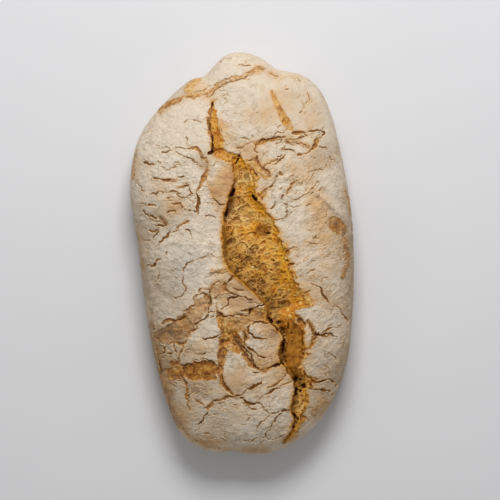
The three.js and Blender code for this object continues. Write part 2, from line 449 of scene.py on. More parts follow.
CRACKS = cracks(
    # Tucked end
    FOLD, (1.9, -24, 110, -21, 113.5, -18, 117, -14, 120, -7, 122, 1, 124, 8, 128, 12, 130),
    (1.2, -59, 98, -55, 101.5, -51, 105, -46, 107, -40, 109, -34, 108, -24, 110),
    HAIR, (0.4, -23, 108, -18.5, 113.4, -12.6, 117.6, -5, 119.6, 3, 122.4, 9, 125),
    (0.4, -27, 113, -24, 116, -22, 116.6), (0.4, -34, 111, -29, 112.6, -26, 111.6),
    (0.4, 9, 131, 13, 128.4, 17, 128.6), (0.45, -17, 133.5, -12, 135.5, -7, 137.2),
    (0.5, -3, 131, 1, 131, 6, 130.4), (0.6, 19, 125.6, 21.5, 124, 25, 123),
    (0.45, 27, 121, 32, 123, 36, 122, 41, 120), (0.45, 42, 106, 43, 102, 42, 99, 40.5, 97),
    (0.4, 45.5, 112.5, 46.6, 109, 47.6, 106.2), (0.4, 30.5, 114.5, 32.5, 113.6),
    TEAR, (0.9, 7, 82, 7.8, 81.2, 8.4, 80.4), (0.7, -13.7, 86.4, -14, 85, -14.3, 83.8),
    HAIR, (0.35, -31, 118, -28.5, 118.2, -26.5, 117),
    # Upper left
    PLATE, (1.01, -20, 105.5, -21.6, 101, -22, 96, -23, 90.5, -22, 86, -20.6, 79, -20.2, 73, -21, 69.5),
    TEAR, (1.2, -20.2, 104.6, -20.8, 102.6, -21.6, 100.6),
    (1.4, -20.8, 82, -20.4, 77, -20.2, 73, -21, 69.4), (1.7, -23.6, 68.8, -21.6, 69.5, -19.6, 70.4),
    (1.2, -23.8, 87.2, -22.4, 88, -22.2, 91), (0.9, -0.4, 70, -2.4, 66.4, -5.4, 62, -6.6, 57.6),
    HAIR, (0.56, -26.5, 92.3, -24.5, 93.6, -22, 94),
    (0.45, -41, 90.6, -36.5, 93, -33, 93, -31, 92, -27.5, 91), (0.5, -69.5, 83, -66.5, 84, -63.5, 86.4),
    PLATE, (0.68, -60, 74.6, -55, 73.8, -51, 73.5, -49.5, 71.5, -47, 72.5, -43.5, 74, -39.5, 72),
    HAIR, (0.5, -38.6, 81, -38, 77, -38, 74.5, -35.5, 74.3),
    GAP, (1.1, -38.5, 71.5, -35, 72.6, -32, 72.5, -30, 71, -28, 68.5, -26.5, 65.5),
    PLATE, (0.62, -56, 69.3, -53, 69.6, -50.5, 70.6),
    (0.93, -46, 70.4, -42, 67.6, -37, 65.6, -33.5, 64, -30, 61, -27, 60.4),
    GAP, (1.2, -29.5, 68.5, -27, 66, -24.4, 63.5, -24, 60, -25, 55.5, -27, 52, -29, 47, -32, 42),
    HAIR, (0.56, -24, 60, -21, 60, -19, 61.5, -16.5, 63.2),
    PLATE, (1.05, -32, 41.5, -30.4, 38.5, -30, 35, -30.7, 31, -31, 27, -32.3, 25),
    (0.62, -37.5, 30, -34, 29.5, -31, 29), (0.81, -68.5, 63.5, -65, 62, -63, 62.5, -60.5, 61.3),
    HAIR, (0.5, -59.5, 64.2, -56, 62.8),
    (0.56, -56, 60.5, -52, 58, -49, 58.5, -46, 60.5, -42, 62, -38.5, 64),
    (0.39, -49, 60.5, -46, 63, -43, 63.5),
    PLATE, (0.81, -61.5, 51.3, -58, 52, -54.5, 51, -51, 50.6, -45.5, 50.4),
    HAIR, (0.62, -45.5, 52.4, -43, 52.6, -40, 53.4), (0.5, -75.5, 50.8, -72, 48, -70, 44.2, -67.5, 42.3),
    PLATE, (0.74, -43.5, 45.8, -40, 46, -35.5, 47),
    (0.74, -65, 40.8, -62, 42, -59.5, 40.5, -57, 42.4, -51, 42, -48.5, 43.5, -44.5, 42.8),
    HAIR, (0.5, -44.6, 43.2, -44, 41.5, -41.6, 42),
    PLATE, (0.74, -45.5, 40.4, -42, 38.4, -39.5, 38, -37, 40, -34.5, 41.2),
    (0.62, -36.6, 46, -36, 43.5, -33.5, 41),
    HAIR, (0.5, -52.5, 38.4, -48, 39), (0.5, -51.5, 36, -47.5, 36.6),
    PLATE, (0.74, -50, 34, -46, 34, -43, 34, -41, 32, -38.6, 30.2),
    (0.74, -65.5, 33.6, -62, 33, -59.5, 32.2),
    HAIR, (0.5, -70.5, 35, -68.5, 34.6, -66, 33.2),
    PLATE, (0.74, -52.5, 28, -49, 29, -46, 28.5),
    (0.93, -69, 30, -66.5, 27, -65, 25.8, -62, 25.5, -59.5, 23.6),
    (0.74, -65, 23.6, -60, 22, -56.5, 21.5), (0.74, -60.5, 19, -57, 19.6, -54.5, 18.8, -51, 20),
    (0.81, -64.5, 15.4, -60, 15.6, -57, 17.2), (0.81, -58, 15.5, -60, 12, -62.5, 10.3),
    HAIR, (0.67, -67.5, 9, -64, 9),
    # Middle left
    PLATE, (0.92, -58, 4.5, -57.4, 7, -54.5, 10, -52, 11.5, -49.6, 14.8),
    GAP, (1.1, -48.5, 13.8, -45, 16.5, -43, 19, -40, 21, -37, 22),
    PLATE, (0.86, -39.4, 16.2, -37, 15, -35, 13.4, -34.4, 11),
    (0.86, -66.5, -8.5, -61, -8.5, -59.5, -6, -56, -4.2), (0.66, -52, 1.8, -52.2, -2),
    HAIR, (0.48, -18, 0.8, -21, 0, -26, -2.5, -33, -5, -37.5, -7, -40.3, -11, -41, -17),
    (0.54, -41, -17, -40.6, -21, -38.6, -25, -40, -28, -42.5, -31, -47, -30.5),
    PLATE, (1.13, -20.5, 40.5, -19, 37, -16.5, 34.6, -12, 33.4),
    HAIR, (0.48, -28, 33.6, -24, 35, -20, 33.5), (0.48, -26, 26, -20, 25.2, -18, 23.6),
    (0.6, -22.5, -13, -18, -14.4, -14, -14, -10, -13), (0.48, -23, 0, -18, -3, -13, -2),
    # Lower left
    GAP, (1.7, -30.5, -27, -28.5, -25, -24, -25, -22, -25.5, -18.5, -20.6, -14, -20.4, -9.5, -20.4),
    PLATE, (1.19, -10, -20.4, -8, -18, -5, -15.6),
    GAP, (1.7, -22, -26, -21, -29, -21.3, -32, -23, -38, -24, -44),
    (1.7, -33, -36.5, -33.6, -33, -32.6, -30.4, -27, -28.6, -24, -30, -21.5, -31),
    (1.7, -55.5, -49.4, -52, -47.5, -49, -46.4, -46, -47, -42, -46, -39, -43.4),
    (1.4, -40.5, -41, -37, -39.6, -34.5, -37.5, -32.6, -36),
    PLATE, (1.19, -24, -44, -27, -46.5, -30, -48.5, -33.5, -50),
    GAP, (1.7, -30.5, -50.8, -33, -53, -35.5, -55, -37.2, -58),
    (1.4, -38.6, -60.6, -40, -63, -44, -63.6, -47, -62.4, -50, -63),
    PLATE, (1.12, -47, -62.4, -47, -66, -45.8, -69.8), (0.89, -53.6, -65.6, -53.8, -69.4, -57.5, -70.8),
    (0.89, -51.5, -70.6, -47.8, -69.8),
    GAP, (1.4, -40.6, -62, -41, -66, -43, -69, -43.6, -72, -44, -75, -47, -77.5, -51, -79.6),
    PLATE, (1.12, -60.4, -62, -59.5, -68, -58.5, -73, -57.4, -77, -56, -81, -56.8, -84.6),
    (0.89, -62, -57, -59, -59.5, -56, -62.6, -53, -63.4), (0.89, -63, -53.8, -60.5, -52.6),
    (0.97, -20.5, -32.2, -18.5, -31, -15, -29.4, -8, -29),
    GAP, (1.7, -11, -20.6, -11.6, -24, -9, -27, -5, -29.2),
    PLATE, (1.04, -13.6, -39.4, -12, -37, -10, -35.5, -9.5, -32, -7, -30.8, -2, -30.4),
    GAP, (1.7, -17, -38.4, -16, -42, -13.5, -44, -10, -44, -4, -43, 4, -43.2, 6, -41),
    PLATE, (0.89, -23.5, -41, -18.6, -41), (0.89, -22, -44.6, -19, -43.4),
    (1.12, -28, -60, -22, -59.5, -17, -57.5, -13.6, -56),
    (0.97, -33.4, -70, -29, -69.8, -27, -70.6, -24.6, -70),
    (0.97, -39.8, -70.2, -38, -67.5, -34.6, -65.8),
    (0.81, -40, -82, -39.6, -78.5, -37, -76, -31, -74.6, -26, -73.7, -20.5, -74.6),
    GAP, (2.4, -15.8, -43, -13.6, -51, -12.6, -58, -13.6, -65, -14.6, -72, -15.3, -81, -14.4, -86),
    (1.5, -14.4, -86, -12.8, -91, -9.6, -95.8, -5, -99.6),
    PLATE, (1.19, 1.5, -54, 3, -57.5, 2.4, -60.5, 3, -64, 6, -66.5, 9, -69.5, 15.5, -73, 21, -71),
    GAP, (2.6, -7, -56, -4, -61.6, 0, -67.6, 4, -73.4),
    (1.7, 4, -73.4, 7, -77.6, 10.6, -80.6, 14.2, -81.4, 18.2, -80.4),
    PLATE, (1.08, -4.6, -58, -1, -62.6, 1.6, -66, 6, -71, 8.4, -75),
    TEAR, (1.6, 17.6, -80.8, 21.3, -79, 24, -77.8, 28, -76.8),
    GAP, (1.6, -42.4, -85.6, -41, -88.5, -39, -91, -38, -95, -37.5, -101, -37.6, -106, -36.4, -110),
    PLATE, (0.74, -37, -99.6, -34.2, -96.6),
    GAP, (1.7, -4, -99.4, -8, -100, -13, -101.8, -17.5, -102.4, -20.5, -104.4, -23, -107.5, -24, -111),
    PLATE, (1.19, -24, -111, -26.5, -113.5, -27, -117, -30.4, -119.8),
    (0.97, -16.4, -104.6, -12.6, -104.4), (0.89, -24, -112.4, -21, -113, -17, -112.8),
    HAIR, (0.5, -33, -101.4, -28, -105, -25, -109), (0.5, -30.6, -97, -28.6, -94.6),
    (0.55, -29, -126, -25, -126, -22, -126.2), (0.4, -57, -13, -58.5, -18, -61, -20, -61.6, -23.5),
    # Lower middle
    PLATE, (1.08, -4.6, -99.4, 0, -98, 4, -95, 8, -93.6, 14, -90),
    (0.89, -4, -99.6, 0, -101, 3, -103, 6, -104.6, 12, -104.4, 16, -109, 20.5, -112),
    (0.83, 20.5, -112, 25, -111, 30, -109.3, 35, -109.6),
    (0.83, 10, -104, 13, -101.5, 15, -98.5, 18, -98, 21, -96, 25, -94, 29, -91.6),
    GAP, (1.1, 28.5, -91.6, 32, -90.4, 36, -89),
    (1.1, 17.5, -93.6, 22, -92.5, 26, -89.5, 28.5, -87, 31, -84.4, 33, -83),
    PLATE, (0.7, 20.5, -112, 17, -115.5, 13, -118, 11, -121, 9.8, -125),
    (0.83, 27.5, -111.6, 23, -116, 21, -119.5, 20.4, -122, 17, -126.4, 17.4, -129.2),
    (0.83, 17.4, -129.2, 21, -130.2, 26, -129, 30.5, -126.6),
    HAIR, (0.52, 1, -131, 8, -130.5, 15, -127.8), (0.57, 3.6, -118.6, 5.6, -114.6),
    (0.63, 0, -104.6, 4, -105.5, 6, -108, 11, -109.6),
    PLATE, (0.95, 0, -31, 3, -31, 5, -32.5, 7.6, -34.8),
    TEAR, (1.2, 4.4, -42, 7, -39.4, 9.4, -37.8, 12, -36.7, 16.6, -35),
    PLATE, (0.89, -1, -39.5, 4, -40, 6.5, -38.8),
    (1.14, 21.5, -47.8, 16, -48.5, 11, -48, 7, -49, 4.5, -51, 5, -54, 7, -57, 12, -59.4, 18, -60),
    HAIR, (0.46, 12, -54.8, 15.6, -54.9),
    PLATE, (0.83, 7.6, -83.8, 13, -83, 18, -81.2),
    # Upper right
    GAP, (1.5, 9.6, 75, 13, 77, 17, 78.5, 21, 79, 26, 80, 30, 81.4),
    (1.1, 8.6, 77.4, 9, 74.5, 8.8, 71, 10.4, 69), (1.5, -4, 72.4, 0, 72.8, 3, 74.5, 6.6, 76.6),
    HAIR, (0.45, -1, 80.4, 3.6, 80, 6, 77),
    GAP, (2.2, 36, 82.6, 38.6, 83.4, 43.6, 83.4), (1.1, 43, 81.8, 45.6, 82.2),
    PLATE, (0.88, 46.6, 84.6, 50, 84.5, 53.4, 85.3), (0.72, 52.6, 86.2, 57.6, 82.8, 52.6, 79.4),
    HAIR, (0.45, 53, 85, 57.5, 87.4),
    GAP, (1.5, 30.4, 79.6, 31.4, 78, 31, 76.5, 33.6, 75.4, 37, 74),
    (1.8, 32.6, 79.2, 36, 78.4, 40, 79.4, 43.6, 80.8),
    HAIR, (0.65, 34, 76.5, 39, 76.5, 43, 75, 47, 72.4),
    GAP, (1.9, 52.4, 79.4, 51.4, 76.5, 50, 73, 46.5, 69.5, 43, 69, 39, 67.6),
    PLATE, (0.66, 54, 73.4, 57, 74, 59.4, 72.6), (0.83, 23.6, 75.6, 27, 77, 28.7, 79.4),
    (0.77, 27.4, 71, 29.8, 74.6),
    HAIR, (0.55, 27.6, 71.4, 32, 72, 37, 70.8),
    PLATE, (0.66, 25, 66.2, 28, 69),
    HAIR, (0.5, 14.6, 68, 18, 71.2), (0.45, 22.6, 82.4, 25, 84, 27.4, 83.4),
    PLATE, (0.77, 3, 64.6, 6, 65, 10.4, 66.8),
    GAP, (1.1, 15, 60, 19, 62, 22, 63.4, 25, 64.5, 30.4, 67.8),
    HAIR, (0.6, 21.6, 60.6, 25, 63, 29, 66.6),
    GAP, (2.52, 10, 67, 11.6, 62.5, 15, 58.5, 18, 56, 19.6, 52.6),
    PLATE, (0.77, 10, 50.6, 10.6, 54, 8.4, 57.5, 5.4, 57),
    HAIR, (0.65, 25.6, 56.2, 28.6, 54.2), (0.55, 24.6, 54, 22, 51.4, 19, 50.8),
    GAP, (1.1, 36.6, 49.4, 34, 46, 32.5, 43.5, 31.2, 40.6),
    PLATE, (0.83, 28.8, 40.4, 27.4, 37.2),
    HAIR, (0.6, 36, 53.6, 38.6, 52),
    PLATE, (0.66, 53.6, 50, 50, 47, 48, 44, 45, 41, 41, 38.6, 33.6, 36.4),
    HAIR, (0.45, 57.4, 45.6, 54, 43.5, 51, 42.5), (0.45, 55, 40.8, 51.8, 37.6),
    (0.5, 60.5, 67.6, 62.5, 65, 65.6, 64), (0.6, 48, 67.4, 51.4, 66.2), (0.5, 45.5, 56, 49, 56.6, 54, 58),
    # Middle right
    PLATE, (0.66, 29.4, 35.4, 31.5, 33, 30.5, 30.5, 31.5, 28, 31, 26, 28.5, 24, 22, 22.4),
    HAIR, (0.5, 31, 33, 35, 32, 38, 32, 41.4, 33.6), (0.45, 44.6, 32.6, 48.4, 33.6),
    (0.45, 36.8, 30.2, 34, 27.5, 31.6, 25.4),
    PLATE, (0.77, 20, 30.4, 22.5, 33, 24.2, 35),
    GAP, (1.1, 13.2, 39.8, 15.5, 43, 17.8, 45.8),
    HAIR, (0.6, 18.6, 45.2, 21.8, 48.4),
    PLATE, (0.83, 29, -0.6, 33, 2.5, 36, 4, 38.6, 4.6), (0.88, 31, -4.6, 32, -7, 36.6, -7.6),
    HAIR, (0.45, 43.6, 7.2, 50, 6.5, 56, 6), (0.45, 49, 10, 52.6, 12.8), (0.4, 42.6, -5.6, 46.4, -0.8),
    PLATE, (0.88, 48, -21.8, 51, -22.8, 54, -24, 56, -28, 58, -31.5, 63, -38),
    (0.83, 63, -38, 66, -37.5, 68, -38.5, 70, -41.5, 71.5, -45, 74, -47.4),
    (0.61, 43, -28.2, 46, -27, 48.4, -26.6),
    HAIR, (0.4, 45, -14, 47.6, -12, 51, -11.2), (0.4, 55, -20, 56.4, -18, 60, -17),
    # Lower right
    PLATE, (1.06, 51, -57, 54, -57.6, 57, -57.5, 58.4, -55.8, 61, -55.8, 63, -57, 66.6, -58.6),
    HAIR, (0.66, 57, -58.2, 61.4, -56.8),
    PLATE, (0.79, 55, -56, 59, -53.2, 64, -51.5, 67, -51.5, 69.4, -50.2),
    GAP, (2.34, 45.6, -48, 48, -53, 51, -57.4), (2.7, 51.4, -56.6, 50, -61, 48, -65),
    (2.52, 37, -44.6, 40.6, -47.6, 43.4, -51),
    PLATE, (0.66, 71, -61.6, 71, -66.4),
    HAIR, (0.48, 71, -61, 74.4, -60.4),
    PLATE, (1.19, 40.6, -80.4, 44, -83.5, 46, -86.5, 48, -88, 53, -90.5, 56, -90, 59, -88.5),
    (1, 59, -88.5, 63, -89, 65, -91, 66.2, -94),
    (0.86, 46.4, -94.4, 52, -95.2, 57, -96, 63, -96.2, 63.6, -99.4),
    HAIR, (0.54, 60.4, -69, 65, -73, 66.2, -75.4), (0.54, 45.4, -115.4, 50.4, -119.4),
    (0.48, 56, -78, 60, -80.6, 61, -84),
    # Left flank
    PLATE, (0.5, -55.9, 69.3, -51.7, 70.6), (0.9, -34.4, 64.5, -31.2, 62.3, -27.4, 59.9),
    (0.5, -58.4, 63.9, -55.9, 62.6), (0.6, -30, 64.8, -26.2, 64.8),
    (0.55, -45.8, 52.4, -42.6, 52.8, -40, 53.5), (0.8, -42.6, 39.2, -40, 37.9, -36.3, 39.8, -34.4, 41.1),
    (0.5, -52.1, 35.7, -48.9, 36), (0.7, -43.5, 34.3, -41.3, 32.1, -39.1, 29.9),
    (0.7, -58, 16.4, -59.6, 13.5, -62.2, 10.4), (0.4, -42.6, 13.9, -40.7, 11.3),
    (0.6, -52.7, 1.2, -52.6, -1.9),
    # Flap plates
    PLATE, (0.9, -18.6, -30.9, -14.8, -29, -7.3, -28.4, 0.3, -30.3, 7.9, -33.5, 13.4, -35.6),
    (0.8, -22.6, -26, -22.2, -33, -23.2, -42), (0.6, -17.4, -34, -16.8, -43),
    (0.7, -8.6, -23.8, -3, -25.2, 1.6, -26.4),
    # Right foot
    PLATE, (0.9, 46.2, -94.4, 50.4, -94.8, 54.7, -95.3, 59, -95.8, 63.2, -96.3),
    (0.7, 63.2, -96.3, 63, -98.6),
    (0.9, 49.5, -90.4, 54, -90.1, 56, -89.2, 60.6, -88.6, 63.8, -89.7, 65.8, -92.7),
    (0.6, 70.6, -58.6, 70.2, -61.5, 70.5, -65),
    # Right flank
    PLATE, (0.8, 55, 73.9, 57.3, 73.4, 59.5, 72.4), (0.7, 42.8, 39.1, 46.4, 42.1, 49.5, 45.7),
    (0.5, 30.4, 35.7, 31.6, 33, 30.7, 29.4, 31.3, 26.3, 29.1, 24.2, 25.2, 23.2),
    (0.45, 51.9, 37.2, 54.6, 40.6), (0.45, 53.1, 42.7, 57.3, 45.4), (0.45, 49.1, 9.9, 51.9, 12.4),
    (0.45, 45.8, 55.7, 48.9, 56.4, 52.5, 57.9, 56.1, 57.3), (0.55, 27.6, 72.4, 31.9, 71.8, 37.3, 69.7),
    (0.55, 19.7, 45.7, 22.2, 49.4, 24.6, 54.8), (0.7, 65.4, 69.8, 67.8, 67.2),
)
# Rows of half widths at both ends, tone, sink, amber, path, strength, crisp and ragged
BARE_PLACES = tuple(BarePlace(row[:2], *row[2:]) for row in (
    (4.6, 7, 0.58, 1.2, 0, (-57, -57.5, -48, -55.5, -41, -51.5)),
    (5.4, 3.6, 0.34, 1, 0, (-38, -48, -32, -43, -27, -38)),
    (3, 2.6, 0.3, 0.6, 0, (-29.5, -35, -25.5, -33)),
    (3.8, 3.2, 0.34, 0.6, 0, (-18.5, -25, -13, -24.4)),
    (2.4, 2.2, 0.32, 0.6, 0.4, (-3, -51, 1.6, -53.6, 2.6, -58), 1, 1.2),
    (3.4, 2.4, 0.14, 0, 0, (-8, -25, -1, -28, 6, -32), 0.5, 1),
    (5.8, 6.4, 0.54, 1.2, 0.7, (-34.6, -82.4, -28, -81.2, -23, -81.6)),
    (2.2, 2, 0.44, 0.8, 0.4, (-47.6, -77, -44.4, -80), 1, 1.4),
    (3.4, 4.4, 0.46, 1.1, 0.6, (-54, -84.5, -48, -84, -43, -83), 1, 2.6),
    (4.6, 4.4, 0.5, 0.4, 0.32, (64.5, 20.6, 69, 17), 1, 2, 0.6),
    (0.8, 1.2, 0.34, 0, 0, (72, 44, 74.6, 37, 76, 28), 0.9, 0.8),
    (2.6, 1.8, 0.46, 0, 0.3, (62.6, 21.6, 67, 22.4), 1, 1.2),
    (1.3, 1.7, 0.42, 0, 0.2, (70, 14, 72.8, 5, 73.8, -4), 1, 1.4, 0.6),
    (0.9, 1.3, 0.92, 1.6, 0.6, (21.4, -78.9, 24.5, -77.8, 27.4, -76.8)),
    (1.5, 1.2, 0.5, 0, 0.2, (73.4, -8, 70, -17), 1, 2, 0.6),
    (0.6, 2.7, 0.3, 0.8, 0.6, (20.6, 112.6, 24.6, 103, 28.2, 95.4, 30.6, 91.4), 1, 2, 0.25),
    (2.7, 1.4, 0.36, 0.8, 0.6, (30.6, 91.4, 34, 86.6), 1, 2, 0.25),
    (1.3, 1.6, 0.46, 0, 0.9, (-20.4, 105, -22, 97, -22.4, 89, -20.6, 79, -20.4, 71), 1, 1),
    (0.8, 3.4, 0.3, 0.4, 1, (-20, 103, -19.4, 95, -18.6, 88), 1, 0.45),
    (3.4, 4, 0.42, 0.8, 1, (-18.6, 84, -17, 78, -16.4, 71), 1, 0.5),
    (3, 3.2, 0.42, 1.4, 0.9, (-15, 69, -8, 66, -3, 65)),
    (2.8, 2.2, 0.2, 0, 0.45, (-37.4, 114, -35, 118, -31, 121), 1, 0.5),
    (2.6, 1.8, 0.44, 0, 0.5, (-57, 100.6, -50, 105, -43, 107), 0.85, 0.7),
    (0.5, 1.7, 0.36, 0.8, 0.2, (-24.3, 58.6, -25.4, 55, -26.8, 52.4)),
    (1.7, 0.6, 0.34, 0.8, 0.2, (-26.8, 52.4, -28.6, 48, -30.4, 44)),
    (0.8, 0.5, 0.34, 0.5, 0.2, (-30.3, 38.4, -30.2, 34, -30.9, 29)),
    (0.5, 1, 0.4, 0.6, 0, (-44.8, 18, -42, 20, -38, 22)),
    (0.5, 0.8, 0.42, 0.4, 0, (-55, 51, -50, 50.6, -46.4, 50.4)),
    (0.4, 0.7, 0.42, 0.4, 0, (-44.6, 45.2, -41, 46, -37.6, 47.4)),
    (0.8, 1.5, 0.58, 0.6, 0, (-57.2, 24.6, -54.8, 22.6, -53, 20.8)),
    (0.5, 0.8, 0.2, 0, 0.5, (-24, 49.4, -22, 44.6, -19.2, 38.4), 0.9, 1.2),
    (2.4, 2.8, 0.26, 0, 0.4, (-40, 109, -32, 110.6, -24, 111), 0.55, 0.6),
    (1.4, 1.1, 0.34, 0, 0.2, (-22, 112, -16, 116, -8, 119.8, 2, 122.6), 0.9, 1),
    (1.4, 2.6, 0.26, 0, 0.4, (2, 123.4, 9, 127, 14, 129), 0.7, 0.7),
    (1.6, 1.6, 0.3, 0, 0.3, (20, 125, 26, 122.6), 0.6, 0.6),
    (1.2, 1.6, 0.3, 0, 0.3, (44, 113, 47, 107), 0.5, 0.5),
    (2, 5, 0.44, 0, 0, (-63, -40, -61, -56, -57, -76, -52, -96), 0.5, 0.5),
    (3, 2, 0.36, 0, 0, (-47, -112, -38, -126, -26, -134), 0.5, 0.5),
    (2.6, 3, 0.22, 0, 0.6, (9, 64, 13, 57, 17, 53), 0.75, 1.2),
    (3, 2, 0.26, 0, 0, (13, 40, 17, 44), 0.6, 1),
    (2.4, 2, 0.2, 0, 0.3, (33, 79, 43, 75.5, 48, 72), 0.6, 1),
    (1.5, 1, 0.58, 0.5, 0.6, (36, 83.2, 42, 83.6)),
    (1.6, 1.3, 0.44, 0.7, 0.5, (9.6, 75.4, 17, 78.2, 26, 79.8), 1, 2, 0.6),
    (2.8, 3, 0.34, 0.8, 0.3, (-15, -46, -8, -47, 0, -47, 6, -46), 0.85, 1.2),
    (3.6, 4, 0.28, 0.5, 0.3, (-11, -51, -4, -52), 0.8, 0.9),
    (2, 3, 0.28, 1.2, 0.6, (-15.8, -44, -13.4, -52, -12.4, -60)),
    (2.4, 2.8, 0.32, 1.2, 0.7, (-11.6, -56.6, -8, -59.6, -4.6, -61.6), 1, 1.4),
    (2.9, 3.6, 0.52, 1.2, 0.85, (-6, -57, -2.5, -62, -1, -64.5)),
    (2.6, 2.8, 0.26, 1.1, 0.55, (-12, -62, -6, -66, -2, -66.5), 1, 1.3),
    (2.6, 2, 0.4, 1.8, 0.6, (-12.4, -62, -13.6, -71, -14.6, -80)),
    (2.1, 0.8, 0.38, 1.4, 0.5, (-15.2, -80, -13.4, -89.6, -7.4, -97.8)),
    (2, 1.2, 0.34, 1.2, 0.55, (-1, -65.6, 4, -73, 8.6, -78.6)),
    (1.2, 1.1, 0.32, 1, 0.6, (9, -79.4, 14.2, -81.4, 20, -80)),
    (3.4, 3.8, 0.34, 0.7, 0.4, (7.6, -41, 13.5, -43, 18, -44), 0.95, 1.2),
    (0.4, 1, 0.3, 0.4, 0.6, (-21.4, -11.6, -16.5, -13, -11, -12)),
    (1.4, 1.8, 0.46, 0, 0, (11.8, -41.6, 14, -42.6), 0.9),
    (3, 2.4, 0.04, 0, 0, (8, -72, 14, -76, 20, -75), 0.6, 1),
    (2.6, 2.6, 0.4, 0, 0, (-54, -58.5, -50, -61), 0.9, 1),
    (1, 2.3, 0.36, 0.9, 0.5, (38.6, -43.6, 41, -47, 42, -51)),
    (0.8, 1.8, 0.4, 1.1, 0.4, (46, -47.4, 48.6, -52, 50.4, -56)),
    (1.9, 1.2, 0.4, 1, 0.4, (51, -57.6, 49.6, -61.6, 47.6, -65.6)),
    (3.4, 1, 0.2, 0, 0, (39, -80, 42.5, -84, 44.5, -87), 0.8),
    (2.4, 2.2, 0.36, 0.6, 0.2, (45, -87.6, 50, -89)),
    (5, 4, 0.3, 0, 0, (56, -104, 50, -113), 0.5, 0.5),
    (3.2, 4.6, 0.46, 0, 0, (-56, -92, -52, -106, -45, -118), 0.8, 0.45),
    (2.6, 2.6, 0.3, 0, 0, (-24, -134, -6, -138, 16, -138), 0.5, 0.4),
    (1.8, 1.8, 0.32, 0, 0.3, (-73.4, 22, -71.6, 8, -70, -10), 0.5, 0.5),
    (1.2, 1.4, 0.28, 0, 0.3, (-73.4, 72, -75.4, 62, -76, 52), 0.8, 0.6),
))
RIDGES = tuple(Ridge(half, height, tuple(path)) for half, height, *path in (
    (2, 3, 48, 44, 56, 39, 64, 31.4, 70, 26, 75, 20), (3, -1.6, 54, 46, 61, 40, 68, 33, 73, 28),
    (1.3, 1.2, -25, -14.4, -17, -11.4, -11, -9), (1.3, -1, -25, -17.4, -17, -15, -11, -14),
    (2.4, 0.9, -30, 4, -22, 6.5, -14, 5.5), (2.2, -0.9, -64, -22, -54, -30, -44, -36),
    (2.6, 1, -60, 4, -48, 8, -38, 6), (2.4, 0.9, 40, -12, 48, -4, 58, 0),
    (2.2, 0.9, 44, 22, 52, 30, 58, 40), (2, -0.8, 52, -66, 60, -74, 64, -84),
    (2.4, 0.8, -4, 116, 8, 112, 16, 106), (2.4, -0.7, 40, 112, 44, 102, 48, 92),
))
